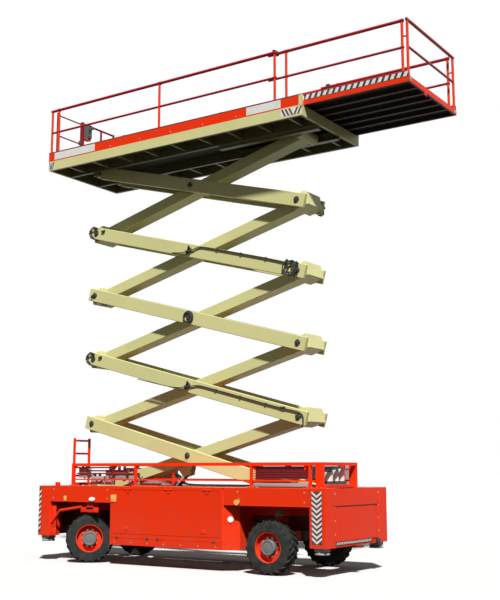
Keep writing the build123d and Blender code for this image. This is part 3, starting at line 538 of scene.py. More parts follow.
for name, low, high in (("valve_chest", (-2.72, 0.76, 1.5), (-1.48, 1.04, 1.85)),
                        ("battery_box", (1.95, 0.74, 1.5), (2.70, 1.06, 1.88))):
    (x0, y0, z0), (x1, y1, z1) = low, high
    overhang = 0.012
    lid = block(name + "_lid", (x0 - overhang, y0 - overhang, z1 - 0.05),
                (x1 + overhang, y1 + overhang, z1 + overhang), 0.008)
    bpy.ops.object.mode_set(mode="EDIT")
    pick(lid, lambda middle, normal: normal.z > 0.95)
    bpy.ops.mesh.inset(thickness=0.03)
    bpy.ops.transform.translate(value=(0, 0, -0.006))
    bpy.ops.object.mode_set(mode="OBJECT")
    fitted(lid, "chassis", machine_grey, "grey_paint")

    clips = []
    for share in (0.2, 0.8):
        x = x0 + (x1 - x0) * share
        for y, proud in ((y0, y0 - 0.022), (y1, y1 + 0.022)):
            clips.append(block("clip", (x - 0.02, y, z1 - 0.09), (x + 0.02, proud, z1 - 0.02), 0.005))
    fitted(joined(name + "_clips", clips), "chassis", plated)

    count = 7
    rib = block("chest_rib", (-0.008, y0 - 0.006, z0 + 0.03), (0.008, y1 + 0.006, z1 - 0.06), 0.004)
    ribs = [put(x0 + (x1 - x0) * (i + 0.5) / count, 0, 0) for i in range(count)]
    fitted(copied(name + "_ribs", rib, ribs), "chassis", machine_grey, "grey_paint")

pot_white = enamel("pot_white_enamel", (0.76, 0.76, 0.73), rough=0.35, dust=0.0)
pot_x = 2.89
caps = []
sleeves = []
for y, top, radius in ((0.30, 1.84, 0.07), (0.11, 1.82, 0.06), (-0.15, 1.78, 0.08)):
    caps += [turned("pot_collar", (pot_x, y, 1.558), (pot_x, y, 1.618), radius + 0.010, 28, edge=0.004),
             turned("pot_cap", (pot_x, y, top - 0.004), (pot_x, y, top + 0.028), radius * 0.82, 28,
                    edge=0.010, steps=3),
             turned("pot_knob", (pot_x, y, top + 0.02), (pot_x, y, top + 0.05), 0.018, 8, edge=0.003)]
    sleeves.append(turned("pot_sleeve", (pot_x, y, 1.615), (pot_x, y, top - 0.002), radius + 0.003, 36,
                          edge=0.003))
fitted(joined("filter_pot_caps", caps), "chassis", black_plastic)
fitted(joined("filter_pot_sleeves", sleeves), "chassis", pot_white)


def hose(name, points, radius, body, material):
    """A hose or pipe held along its whole run: one smooth curve through its points, made a mesh."""
    line = bpy.data.curves.new(name, "CURVE")
    line.dimensions = "3D"
    line.bevel_depth = radius
    line.bevel_resolution = 2
    line.resolution_u = 5
    line.use_fill_caps = True
    run = line.splines.new("NURBS")
    run.points.add(len(points) - 1)
    for spot, place in zip(run.points, points):
        spot.co = (*place, 1)
    run.order_u = 3
    run.use_endpoint_u = True
    piece = bpy.data.objects.new(name, line)
    bpy.context.collection.objects.link(piece)
    alone(piece)
    bpy.ops.object.convert(target="MESH")
    return fitted(bpy.context.object, body, material)


def rubber(name):
    """Black hose rubber with a fine wrapped-cloth print and dusty patches."""
    dust_grey = (0.075, 0.068, 0.058, 1.0)
    material, wires, place = finish(name)
    wrap = wires.node("ShaderNodeTexWave", {"bands_direction": "DIAGONAL"},
                      {"Vector": place, "Scale": 90.0, "Distortion": 1.0})
    dusty = noise(wires, place, 7.0, 5.0)
    tone = wires.mix((dusty - 0.42).kept() * 1.6, (0.016, 0.016, 0.018, 1.0), dust_grey)
    return coat(material, wires, {"Base Color": tone, "Roughness": dusty * 0.2 + 0.54,
                                  "Normal": relief(wires, 0.2, 0.0006, wrap)})


hose_rubber = rubber("hose_rubber")
for i, (y, z) in enumerate(((0.30, 1.70), (0.11, 1.66), (-0.15, 1.62))):
    spread = 0.02 * i
    run = [(pot_x, y + 0.05, z), (2.84, y + 0.09, z - 0.01), (2.82 + spread, y + 0.14, 1.58),
           (2.82 + spread, 0.40, 1.53), (2.79 + spread, 0.50, 1.518), (2.60, 0.535, 1.515),
           (2.30, 0.55, 1.515)]
    hose(f"pot_hose_{i + 1}", run, 0.014, "chassis", hose_rubber)
laid = 1.513
for i, y in enumerate((0.80, 0.85, 0.90, 0.95)):
    run = [(-1.482, y, 1.72), (-1.40, y, 1.73), (-1.30, y, 1.66), (-1.24, y, 1.56), (-1.10, y, laid),
           (-0.2, y - 0.08, laid), (0.9, y - 0.08, laid), (1.6, y, laid), (1.88, y, 1.53), (1.952, y, 1.56)]
    hose(f"chest_hose_{i + 1}", run, 0.012, "chassis", hose_rubber)

fins = block("cylinder_fin", (-0.004, -0.21, -0.10), (0.004, 0.21, 0.10), 0.003)
places = [put(-0.55 + 0.05 * i, -0.83, 1.275) for i in range(18)]
fitted(copied("engine_fins", fins, places), "chassis", machine_grey, "grey_paint")
cover = block("rocker_cover", (-0.60, -1.00, 1.17), (0.40, -0.70, 1.26), 0.03, 3)
fitted(cover, "chassis", black_plastic)
fillers = [turned("filler_neck", (x, 0.9, z - 0.01), (x, 0.9, z + 0.05), 0.045, 24, edge=0.008)
           for x, z in ((-1.1, 1.15), (0.3, 1.0))]
fitted(joined("tank_fillers", fillers), "chassis", black_plastic)
straps = [turned("tank_strap", (x, 0.615, z), (x, 1.085, z), 0.012, 10, edge=0.003)
          for x, z in ((-1.05, 1.152), (-0.55, 1.152), (0.35, 1.002), (0.75, 1.002))]
fitted(joined("tank_straps", straps), "chassis", plated)

# ------------------------------------------------------------ upper frame
# Square-tube frame in red enamel, welded round the foot of the arms and bolted down, with a
# guard of maroon slats over the black oil coolers at the front.

# Maroon is the guard slats' and lift pipes' own colour; on the rung sleeves, the rear rails and the gate it
# is painted shade of their red.
maroon_and_painted_shade = enamel("maroon_enamel", (0.27, 0.018, 0.024), rough=0.4, dust=0.1)
dress("upper_frame", shell_red)
frame_y = 0.62
for side, where in flanks:
    slat = block("guard_slat", (1.56, -0.006, -0.007), (2.745, 0.006, 0.007), 0.003)
    places = [put(0, side * 0.605, 1.665 + 0.030 * i) for i in range(8)]
    fitted(copied(f"{where}_guard_slats", slat, places), "chassis", maroon_and_painted_shade)

    y = side * 0.50
    cooler = block(f"{where}_oil_cooler", (1.57, y - 0.06, 1.655), (2.74, y + 0.06, 1.885), 0.012)
    bpy.ops.object.mode_set(mode="EDIT")
    pick(cooler, lambda middle, normal: abs(normal.y) > 0.9)
    bpy.ops.mesh.inset(thickness=0.025)
    bpy.ops.transform.resize(value=(1, 0.85, 1), center_override=(2.155, y, 1.77))
    bpy.ops.object.mode_set(mode="OBJECT")
    fitted(cooler, "chassis", black_plastic)
    y = side * 0.60
    tray = block(f"{where}_pipe_tray", (1.56, y - 0.02, 1.515), (2.745, y + 0.02, 1.585), 0.008)
    fitted(tray, "chassis", machine_grey, "grey_paint")

    y = side * frame_y
    gussets = []
    for x in (-2.93, -1.25, 1.54, 2.66):
        gusset = block("gusset", (x, y - 0.004, 1.80), (x + 0.10, y + 0.004, 1.90), 0.001, 1)
        alone(gusset)
        tip = max(v.co.x for v in gusset.data.vertices)
        bpy.ops.object.mode_set(mode="EDIT")
        bpy.ops.mesh.select_all(action="SELECT")
        bpy.ops.mesh.bisect(plane_co=(tip, 0, 1.90), plane_no=(0.7071, 0, -0.7071), use_fill=True,
                            clear_outer=True)
        bpy.ops.object.mode_set(mode="OBJECT")
        gussets.append(gusset)
    fitted(joined(f"{where}_frame_gussets", gussets), "chassis", shell_red, "red_paint")

    feet = (-2.955, -1.27, 1.52, 2.78, 2.98)
    foot = block("frame_foot", (-0.06, -0.055, 0), (0.06, 0.055, 0.012), 0.003)
    places = [put(x, y, top_face) for x in feet]
    fitted(copied(f"{where}_frame_feet", foot, places), "chassis", shell_red, "red_paint")
    heads = [put(x + dx, y + dy, top_face + 0.012)
             for x in feet for dx in (-0.045, 0.045) for dy in (-0.04, 0.04)]
    fitted(copied(f"{where}_foot_bolts", bolt("foot_bolt", 0.009, 0.009), heads), "chassis", plated)

# ------------------------------------------------------------ valves and pipes of the lift circuit
# Cast valve blocks with black solenoid coils stand behind the rails of the rear half, joined
# by maroon steel pipes and short rubber hoses.

blocks = [block("valve_block", (x, -0.565, z), (x + long, -0.435, z + tall), 0.006)
          for x, z, long, tall in ((-2.86, 1.66, 0.24, 0.20), (-2.52, 1.52, 0.34, 0.17),
                                   (-2.12, 1.52, 0.16, 0.30), (-1.88, 1.64, 0.30, 0.18),
                                   (-1.50, 1.52, 0.20, 0.24))]
fitted(joined("valve_blocks", blocks), "chassis", machine_grey, "grey_paint")
coils = [turned("valve_coil", (x, -0.50, z), (x, -0.50, z + 0.07), 0.030, 20, edge=0.006)
         for x, z in ((-2.80, 1.86), (-2.69, 1.86), (-2.46, 1.69), (-2.33, 1.69),
                      (-2.04, 1.82), (-1.80, 1.82), (-1.66, 1.82), (-1.40, 1.76))]
fitted(joined("valve_coils", coils), "chassis", black_plastic)
pipes = [turned("lift_pipe", (x0, y, z), (x1, y, z), 0.014, 14, edge=0.003)
         for x0, x1, y, z in ((-2.90, -1.30, -0.575, 1.745), (-2.62, -1.30, -0.572, 1.80),
                              (-2.90, -1.90, -0.575, 1.865), (-2.90, -1.55, 0.575, 1.74),
                              (-2.60, -1.55, 0.572, 1.80))]
fitted(joined("lift_pipes", pipes), "chassis", maroon_and_painted_shade)
for i, (x, z) in enumerate(((-2.74, 1.66), (-2.40, 1.60), (-2.05, 1.70), (-1.72, 1.64), (-1.44, 1.60))):
    run = [(x, -0.50, z), (x + 0.03, -0.582, z + 0.02), (x + 0.12, -0.585, z - 0.06),
           (x + 0.22, -0.580, z + 0.02), (x + 0.26, -0.50, z + 0.08)]
    hose(f"lift_hose_{i + 1}", run, 0.012, "chassis", hose_rubber)

# ------------------------------------------------------------ access ladder
# A welded red steel hoop stands at the rear with four rungs, and three more rungs lead up to
# it on the end plate; each has a round sleeve in maroon enamel, which is painted shade.

dress("access_ladder", shell_red)
hoop_x, steps_x, ladder_y = -3.005, -3.416, -0.335
sleeve = turned("rung_sleeve", (0, -0.17, 0), (0, 0.17, 0), 0.021, 16, edge=0.003)
rungs = [put(hoop_x, ladder_y, z) for z in (1.70, 1.93, 2.16, 2.43)]
rungs += [put(steps_x, ladder_y, z) for z in (0.56, 1.26, 1.46)]
fitted(copied("rung_grips", sleeve, rungs), "chassis", maroon_and_painted_shade)

# ------------------------------------------------------------ axles, kingpins and steering
# Welded box axles under the members; each kingpin turns in a heavy tube that is closed by a
# cast cap with six bolts, grey at the front. The knuckle below it is cast and painted black.

kingpin_y, cap_z, axle_z = 0.74, 1.020, 0.65
axle_x = {1: 2.21, -1: -2.31}


def corner_name(end, side):
    """The name of a corner of the machine from its end (1 front) and its side (1 left)."""
    return f"{'front' if end > 0 else 'rear'}_{'right' if side < 0 else 'left'}"


steel_black = enamel("steel_black_enamel", (0.028, 0.028, 0.030), rough=0.46, dust=0.8)
dress("axles", shell_red)
for end, where, cap_finish in ((1, "front", (machine_grey, "grey_paint")),
                               (-1, "rear", (shell_red, "red_paint"))):
    x = axle_x[end]
    for side in (-1, 1):
        corner = corner_name(end, side)
        dress(f"knuckle_{corner}", steel_black)
        y = side * kingpin_y
        cap = turned("kingpin_cap", (x, y, 1.006), (x, y, 1.112), 0.066, 32, edge=0.026, steps=4)
        flange = turned("kingpin_flange", (x, y, 1.004), (x, y, cap_z), 0.086, 32, edge=0.004)
        fitted(joined(f"kingpin_cap_{corner}", [cap, flange]), "chassis", *cap_finish)
        ring = [put(x, y, cap_z, 60 * i + 30) @ Matrix.Translation((0.076, 0, 0)) for i in range(6)]
        heads = bolt("kingpin_bolt", 0.007, 0.007)
        fitted(copied(f"kingpin_bolts_{corner}", heads, ring), "chassis", plated)
        bpy.ops.mesh.primitive_torus_add(location=(x, y, 0.742), major_radius=0.077, minor_radius=0.007,
                                         major_segments=32, minor_segments=6)
        weld = bpy.context.object
        weld.name = f"kingpin_weld_{corner}"
        bpy.ops.object.transform_apply(location=True, rotation=True, scale=True)
        fitted(weld, "chassis", shell_red, "red_paint")
    housing = turned(f"{where}_drive_housing", (x - 0.12, 0, axle_z), (x + 0.12, 0, axle_z), 0.13, 36,
                     edge=0.03, steps=3)
    fitted(housing, "chassis", steel_black, "black_steel")

# ------------------------------------------------------------ wheels
# Traction tyres with slanted lugs on a smooth carcass, on pressed steel rims in red enamel;
# the hub reduction gear is cast, painted grey and bolted through the rim.


def tyre_black(name):
    """Tyre rubber: dull black with greenish dust in the hollows and a fine mould grain."""
    black, dusty = (0.017, 0.018, 0.017, 1.0), (0.058, 0.060, 0.054, 1.0)
    material, wires, place = finish(name)
    grain = noise(wires, place, 320.0, 2.0)
    patch = noise(wires, place, 8.0, 6.0, 0.65)
    return coat(material, wires, {"Base Color": wires.mix((patch * 2.2 - 0.8).kept(), black, dusty),
                                  "Roughness": patch * 0.18 + 0.66, "Specular IOR Level": 0.15,
                                  "Normal": relief(wires, 0.3, 0.0008, grain)})


tyre_rubber = tyre_black("tyre_rubber")
rim_red = enamel("rim_red_enamel", (0.82, 0.045, 0.008), rough=0.42, dust=0.1)
hub_grey = enamel("hub_grey_enamel", (0.165, 0.185, 0.195), rough=0.4, dust=0.3)


def stepped(piece, test, steps):
    """Inset the picked faces again and again, each time with its own width and depth."""
    bpy.ops.object.mode_set(mode="EDIT")
    pick(piece, test)
    for width, out in steps:
        bpy.ops.mesh.inset(thickness=width, depth=out)
    bpy.ops.object.mode_set(mode="OBJECT")


def carcass():
    """The tyre without its lugs: a drum whose walls are inset, bulged and bored through."""
    half_width, crown = 0.150, 0.446
    body = turned("tyre_carcass", (0, -half_width, 0), (0, half_width, 0), crown, 72)
    stepped(body, lambda middle, normal: abs(normal.y) > 0.9,
            ((0.020, 0.004), (0.030, 0.006), (0.050, 0.0), (0.045, -0.006), (0.020, 0.004), (0.0105, -0.020)))
    bpy.ops.object.mode_set(mode="EDIT")
    bpy.ops.mesh.bridge_edge_loops()
    bpy.ops.mesh.select_all(action="SELECT")
    bpy.ops.mesh.normals_make_consistent(inside=False)
    bpy.ops.object.mode_set(mode="OBJECT")
    soften = body.modifiers.new("shoulder", "BEVEL")
    soften.width = 0.012
    soften.segments = 3
    soften.angle_limit = radians(40)
    bpy.ops.object.modifier_apply(modifier=soften.name)
    return body


def rolled(piece, radius):
    """Wrap a piece modelled flat on the crown round the axle line."""
    for vertex in piece.data.vertices:
        x, y, z = vertex.co
        vertex.co = (z * sin(x / radius), y, z * cos(x / radius))


def lug(hand):
    """One traction lug: leans across the crown and runs down over the shoulder."""
    inner, shoulder, outer = 0.004, 0.125, 0.158
    bar = block("lug", (-0.019, hand * inner, 0.436), (0.019, hand * outer, 0.4745))
    bpy.ops.object.mode_set(mode="EDIT")
    bpy.ops.mesh.select_all(action="SELECT")
    bpy.ops.mesh.bisect(plane_co=(0, hand * shoulder, 0), plane_no=(0, 1, 0), use_fill=False)
    pick(bar, lambda middle, normal: abs(middle.y) > outer - 0.001)
    bpy.ops.transform.translate(value=(0, 0, -0.016))
    pick(bar, lambda middle, normal: normal.z > 0.6)
    bpy.ops.transform.resize(value=(0.74, 1, 1), center_override=(0, 0, 0.47))
    bpy.ops.object.mode_set(mode="OBJECT")
    for vertex in bar.data.vertices:
        vertex.co.x += (abs(vertex.co.y) - 0.08) * 0.75
    rolled(bar, 0.46)
    return bar


lug_count = 22
lugs = []
for hand, lead in ((-1, 0.0), (1, 0.5)):
    turns = [Matrix.Rotation(radians(360 / lug_count * (i + lead)), 4, "Y") for i in range(lug_count)]
    lugs.append(copied("lugs", lug(hand), turns))
pattern_tyre = joined("pattern_tyre", [carcass()] + lugs)

beads = []
bead_y, bead_radius = 0.134, 0.262
for y in (-bead_y, bead_y):
    bpy.ops.mesh.primitive_torus_add(location=(0, y, 0), rotation=(radians(90), 0, 0),
                                     major_radius=bead_radius, minor_radius=0.010,
                                     major_segments=56, minor_segments=8)
    beads.append(bpy.context.object)
    bpy.ops.object.transform_apply(location=True, rotation=True, scale=True)
dish = turned("rim_dish", (0, -0.046, 0), (0, -0.030, 0), 0.252, 56)
stepped(dish, lambda middle, normal: normal.y < -0.9,
        ((0.014, -0.001), (0.030, 0.016), (0.030, 0.002), (0.018, -0.012)))
pattern_rim = joined("pattern_rim", beads + [dish])

hub_face = -0.146
pattern_hub = turned("hub_cover", (0, -0.050, 0), (0, hub_face, 0), 0.137, 48, edge=0.010, steps=3)
stepped(pattern_hub, lambda middle, normal: normal.y < -0.9,
        ((0.030, 0.0), (0.010, -0.008), (0.020, 0.0), (0.008, 0.014)))
stud_ring, nut_ring = 0.118, 0.168
studs = [Matrix.Rotation(radians(36 * i), 4, "Y") @ outward(0, hub_face, stud_ring, -1) for i in range(10)]
nuts = [Matrix.Rotation(radians(36 * i + 18), 4, "Y") @ outward(0, -0.052, nut_ring, -1) for i in range(10)]
pattern_nuts = joined("pattern_nuts", [copied("hub_studs", bolt("hub_stud", 0.008, 0.009), studs),
                                       copied("wheel_nuts", bolt("wheel_nut", 0.012, 0.022), nuts)])

# each wheel turned with its knuckle, which stands steered at the rear, and faced outwards
wheel_z, wheel_reach = 0.475, 0.26
for end, steer in ((1, 0), (-1, 38)):
    for side in (-1, 1):
        corner = corner_name(end, side)
        dress(f"rim_{corner}", rim_red)
        place = put(axle_x[end], side * kingpin_y, wheel_z, steer + (180 if side > 0 else 0))
        place = place @ Matrix.Translation((0, -wheel_reach, 0))
        for pattern, name, material, slot in ((pattern_tyre, "lugged_tyre", tyre_rubber, "tyre_rubber"),
                                              (pattern_rim, "rim_beads", rim_red, "red_rim"),
                                              (pattern_hub, "hub_cover", hub_grey, None),
                                              (pattern_nuts, "wheel_nuts", plated, None)):
            copy = pattern.copy()
            copy.data = pattern.data.copy()
            copy.data.transform(place)
            copy.name = f"{name}_{corner}"
            bpy.context.collection.objects.link(copy)
            fitted(copy, f"wheel_{corner}", material, slot)
            if pattern is pattern_tyre:
                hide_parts(f"tyre_{corner}")
for pattern in (pattern_tyre, pattern_rim, pattern_hub, pattern_nuts):
    bpy.data.objects.remove(pattern)

# ------------------------------------------------------------ jack legs
# Square steel legs in the corner housings, each on a round grey pad with a rubber-faced
# sole; the pads hang just below the housings when the legs are drawn up.

leg_x, leg_y = 3.235, 1.01
pad_grey = enamel("pad_grey_enamel", (0.52, 0.54, 0.57), rough=0.45, dust=0.3)
for end in (1, -1):
    for side in (-1, 1):
        leg = f"jack_leg_{corner_name(end, side)}"
        dress(leg, pad_grey)
        x, y = end * leg_x, side * leg_y
        rim = turned(leg.replace("jack_leg", "pad_rim"), (x, y, 0.386), (x, y, 0.398), 0.134, 40, edge=0.004)
        fitted(rim, leg, black_plastic)
        web = block("pad_web", (-0.115, -0.006, 0), (0.115, 0.006, 0.030), 0.002)
        webs = [put(x, y, 0.418, 45 * i) for i in range(4)]
        fitted(copied(leg.replace("jack_leg", "pad_webs"), web, webs), leg, pad_grey, "grey_paint")

# ------------------------------------------------------------ roller tracks
# Steel channels in cream enamel, bolted on the members, in which the rollers of the lowest
# arm run; a black rubber stop closes each at the front.


def cream_enamel(name, clean, aged, painted_shade=None):
    """Cream enamel: uneven tone and greasy streaks, and painted shade in another colour within the given
    bounds.
    """
    grease = (0.17, 0.155, 0.08, 1.0)
    material, wires, place = finish(name)
    cloud = noise(wires, place, 0.9, 5.0, 0.6)
    grain = noise(wires, place, 21.0, 5.0, 0.7)
    peel = noise(wires, place, 380.0, 1.0)
    tone = wires.mix((cloud * 1.8 - 0.5).kept(), tint(clean), tint(aged))
    grime = ((grain + cloud * 0.5 - 0.88) * 5.0).kept() * 0.28
    tone = wires.mix(grime, tone, grease)
    # painted shade: the given colour inside the bounds
    if painted_shade:
        low, high, reach, colour = painted_shade
        length = measured(wires, place, "X")
        across = abs(measured(wires, place, "Y"))
        tone = wires.mix(length.above(low) * length.below(high) * across.below(reach), tone, tint(colour))
    return coat(material, wires, {"Base Color": tone, "Roughness": grime * 0.5 + cloud * 0.06 + 0.40,
                                  "Specular IOR Level": 0.2,
                                  "Normal": relief(wires, 0.3, 0.0006, peel * 0.3 + grime)})


clean_cream, aged_cream = (0.640, 0.625, 0.300), (0.570, 0.555, 0.260)
cream = cream_enamel("arm_cream_enamel", clean_cream, aged_cream)
dress("scissor_tracks", cream)
for side, where in flanks:
    heads = [outward(x, side * 0.5, 1.41, side) for x in (-1.4, -0.9, -0.4, 0.1, 0.6, 1.1, 1.6, 2.1, 2.6)]
    fitted(copied(f"{where}_track_bolts", bolt("track_bolt", 0.010, 0.009), heads), "chassis", plated)
    y = side * 0.45
    stop = block(f"{where}_track_stop", (2.70, y - 0.03, 1.34), (2.755, y + 0.03, 1.48), 0.01)
    fitted(stop, "chassis", black_plastic)

# ------------------------------------------------------------ scissor arms
# Welded box beams in cream enamel, crossed in pairs. The pins run right through and are held
# by dark bolted keeper plates; beads of weld show where the beams run into their end blocks.

arm_length, arm_rise = 5.28, 15.1
base_x, base_z, level_step = -2.7, 1.41, arm_length * sin(radians(arm_rise))
half = arm_length / 2
beam_face = 0.385


def on_arm(level, inner):
    """Carries a piece modelled along +X from an arm's left pin to that arm."""
    foot = base_z + level_step * (level - 1 if inner else level)
    turn = Matrix.Rotation(radians(-arm_rise if inner else arm_rise), 4, "Y")
    return Matrix.Translation((base_x, 0, foot)) @ turn


pin_steel = enamel("pin_steel_enamel", (0.050, 0.046, 0.040), rough=0.5, dust=0.0)
for level in range(1, 6):
    inner_arm, outer_arm = f"inner_arm_{level}", f"outer_arm_{level}"
    dress(inner_arm, cream)
    dress(outer_arm, cream)
    stand = on_arm(level, False)
    first, last = level == 1, level == 5

    # keeper plates on the pins that the outer arm carries, each with four bolts
    pins = [half] + ([] if last else [0.0]) + ([] if first else [arm_length])
    keeper = turned("keeper", (0, 0, 0), (0, 0, 0.012), 0.062, 28, edge=0.004)
    boss = turned("keeper_boss", (0, 0, 0.010), (0, 0, 0.030), 0.0465, 28, edge=0.008, steps=2)
    places = [stand @ outward(x, side * beam_face, 0, side) for x in pins for side in (-1, 1)]
    keepers = copied(f"pin_keepers_{level}", joined("keeper", [keeper, boss]), places)
    fitted(keepers, outer_arm, pin_steel)
    heads = [place @ put(0, 0, 0, 90 * i + 45) @ Matrix.Translation((0.054, 0, 0.011))
             for place in places for i in range(4)]
    fitted(copied(f"keeper_bolts_{level}", bolt("keeper_bolt", 0.005, 0.006), heads), outer_arm, plated)

    # a thin stiffening ring round the middle pin of each near beam
    ring = turned("stiffener", (0, 0, 0), (0, 0, 0.004), 0.105, 44, edge=0.002)
    places = [stand @ outward(half, side * beam_face, 0, side) for side in (-1, 1)]
    fitted(copied(f"stiffeners_{level}", ring, places), outer_arm, cream, "cream_paint")

    # weld beads where the box beam runs into its squared end blocks
    inset, tall, wide = 0.152, 0.112, 0.172
    beads = []
    for x in ([] if first else [inset]) + ([] if last else [arm_length - inset]):
        beads += [turned("weld", (x, 0.008 - wide, z), (x, wide - 0.008, z), 0.007, 8, edge=0.002)
                  for z in (-tall, tall)]
        beads += [turned("weld", (x, y, 0.008 - tall), (x, y, tall - 0.008), 0.007, 8, edge=0.002)
                  for y in (-wide, wide)]
    welds = joined(f"end_welds_{level}", beads)
    welds.data.transform(on_arm(level, True))
    fitted(welds, inner_arm, cream, "cream_paint")

# ------------------------------------------------------------ hoses on the arms
# Black rubber hoses clamped along the near beams of the second and fourth levels, looped round
# the pins where they cross from arm to arm, with bunches of dark steel unions there.


def along(level, inner, points):
    """Points given on an arm (along it, across, above its centre line), in the machine's frame."""
    stand = on_arm(level, inner)
    return [tuple(stand @ Vector(point)) for point in points]


def arm_hose(name, level, points, radius):
    """A hose on an outer arm."""
    hose(name, along(level, False, points), radius, f"outer_arm_{level}", hose_rubber)


def fittings(name, level, bars):
    """Dark hexagon unions and short pipes bunched on an outer arm, each between two points on it."""
    made = [turned("union", *along(level, False, bar), 0.020, 6, edge=0.003) for bar in bars]
    fitted(joined(name, made), f"outer_arm_{level}", pin_steel)


near = -0.397
lower_run = {2: [(1.35, near, -0.150), (1.75, near, -0.140), (half - 0.45, near, -0.125)],
             4: [(half - 0.42, near, -0.115)]}
upper_run = {2: [(half + 1.3, near, 0.072), (arm_length - 0.45, near, 0.070),
                 (arm_length - 0.12, near, 0.090), (arm_length + 0.05, near, 0.085),
                 (arm_length + 0.13, near, 0.02), (arm_length + 0.15, near, -0.12)],
             4: [(half + 1.3, near, 0.122), (arm_length - 0.55, near, 0.120),
                 (arm_length - 0.30, near, 0.105)]}
for level, above in ((2, 0.072), (4, 0.122)):
    middle = [(half - 0.22, near, -0.090), (half - 0.06, near - 0.014, -0.050),
              (half + 0.10, near - 0.010, 0.015), (half + 0.24, near, above - 0.012),
              (half + 0.40, near, above)]
    for i, out in enumerate((0.0, 0.016)):
        run = [(x, y - out, z) for x, y, z in lower_run[level] + middle + upper_run[level]]
        arm_hose(f"beam_hose_{level}_{i + 1}", level, run, 0.0080)
    clamp = block("hose_clamp", (-0.020, -0.430, -0.016), (0.020, -0.386, 0.016), 0.006)
    places = [on_arm(level, False) @ put(x, 0, above) for x in (half + 0.7, half + 1.3, half + 1.9)]
    fitted(copied(f"hose_clamps_{level}", clamp, places), f"outer_arm_{level}", black_plastic)

# bunches of unions and short loops at the pins where the hoses cross from arm to arm
for level in (2, 4):
    fittings(f"left_unions_{level}", level,
             [[(-0.15, -0.40, 0.04), (-0.15, -0.44, -0.06)], [(-0.10, -0.41, -0.08), (-0.02, -0.43, -0.12)],
              [(-0.06, -0.41, 0.07), (0.04, -0.43, 0.085)], [(0.02, -0.41, -0.14), (0.16, -0.41, -0.15)],
              [(0.16, -0.41, 0.05), (0.24, -0.41, 0.09)]])
    for i, (reach, y) in enumerate(((0.12, -0.425), (0.145, -0.445))):
        arm_hose(f"pin_loop_{level}_{i + 1}", level,
                 [(0.05, y, 0.10), (-0.06, y, reach), (-reach - 0.01, y, 0.03), (-reach, y, -0.06),
                  (-0.05, y, -reach), (0.10, y, -0.155)], 0.011)
    fittings(f"middle_unions_{level}", level,
             [[(half - 0.02, -0.41, 0.02), (half + 0.01, -0.45, 0.085)],
              [(half - 0.07, -0.41, -0.03), (half + 0.05, -0.44, -0.02)],
              [(half - 0.03, -0.41, -0.08), (half - 0.02, -0.44, -0.02)]])
fittings("left_unions_3", 3, [[(-0.05, -0.41, 0.0), (-0.06, -0.42, -0.07)],
                              [(0.24, -0.39, -0.150), (0.42, -0.39, -0.152)]])
for i, (radius, y) in enumerate(((0.125, -0.410), (0.105, -0.430))):
    circle = [(half + radius * cos(radians(a)), y, radius * sin(radians(a))) for a in range(-60, 301, 40)]
    arm_hose(f"middle_ring_{i + 1}", 3, circle, 0.015)
knot = arm_length - 0.13
for i, (radius, y, lean) in enumerate(((0.150, -0.410, 0.0), (0.120, -0.432, 0.03), (0.140, -0.452, -0.03),
                                       (0.085, -0.44, 0.0))):
    circle = [(knot + lean + radius * cos(radians(a)), y, 0.01 + radius * sin(radians(a)))
              for a in range(40 * i, 40 * i + 331, 36)]
    arm_hose(f"right_knot_{i + 1}", 4, circle, 0.013)
fittings("right_unions_4", 4,
         [[(knot - 0.17, -0.40, 0.10), (knot - 0.10, -0.44, 0.16)],
          [(knot + 0.08, -0.40, 0.15), (knot + 0.16, -0.44, 0.12)],
          [(knot - 0.18, -0.41, -0.06), (knot - 0.12, -0.43, -0.12)],
          [(knot + 0.10, -0.42, -0.13), (knot + 0.18, -0.42, -0.08)],
          [(knot - 0.03, -0.42, 0.13), (knot + 0.03, -0.45, 0.16)]])
fittings("far_unions_5", 5,
         [[(arm_length + 0.10, 0.41, 0.10), (arm_length + 0.16, 0.43, 0.0)],
          [(arm_length + 0.15, 0.40, -0.02), (arm_length + 0.15, 0.44, -0.12)],
          [(arm_length + 0.05, 0.41, -0.13), (arm_length + 0.14, 0.42, -0.14)]])
fittings("end_union_2", 2,
         [[(arm_length + 0.13, -0.40, -0.13), (arm_length + 0.16, -0.44, -0.15)],
          [(arm_length - 0.42, -0.40, 0.07), (arm_length - 0.30, -0.42, 0.10)]])

# three hoses strapped along the spine of every other inner arm
for level in (1, 3, 5):
    arm, top = f"inner_arm_{level}", 0.123
    for i, y in enumerate((-0.05, 0.0, 0.05)):
        run = [(0.30, y, top), (1.2, y, top), (half - 0.4, y, top), (half + 0.4, y, top),
               (arm_length - 0.35, y, top + 0.001)]
        hose(f"spine_hose_{level}_{i + 1}", along(level, True, run), 0.011, arm, hose_rubber)
    strap = block("spine_strap", (-0.02, -0.075, 0.108), (0.02, 0.075, 0.137), 0.006)
    places = [on_arm(level, True) @ put(x, 0, 0) for x in (0.6, 1.4, 2.1, 3.2, 4.0, 4.7)]
    fitted(copied(f"spine_straps_{level}", strap, places), arm, plated)

# ------------------------------------------------------------ lift cylinder
# One large hydraulic cylinder: drawn steel barrel in black with a screwed gland and a feed
# pipe, and a hard-chromed rod with a forged eye.

dress("lift_cylinder_barrel", steel_black)


def chrome(name):
    """Hard chrome: bright, with an oily film in patches."""
    bright, oiled = (0.72, 0.72, 0.73, 1.0), (0.52, 0.51, 0.48, 1.0)
    material, wires, place = finish(name)
    oil = noise(wires, place, 12.0, 4.0)
    return coat(material, wires, {"Base Color": wires.mix(oil, bright, oiled), "Metallic": 1.0,
                                  "Roughness": oil * 0.2 + 0.08})


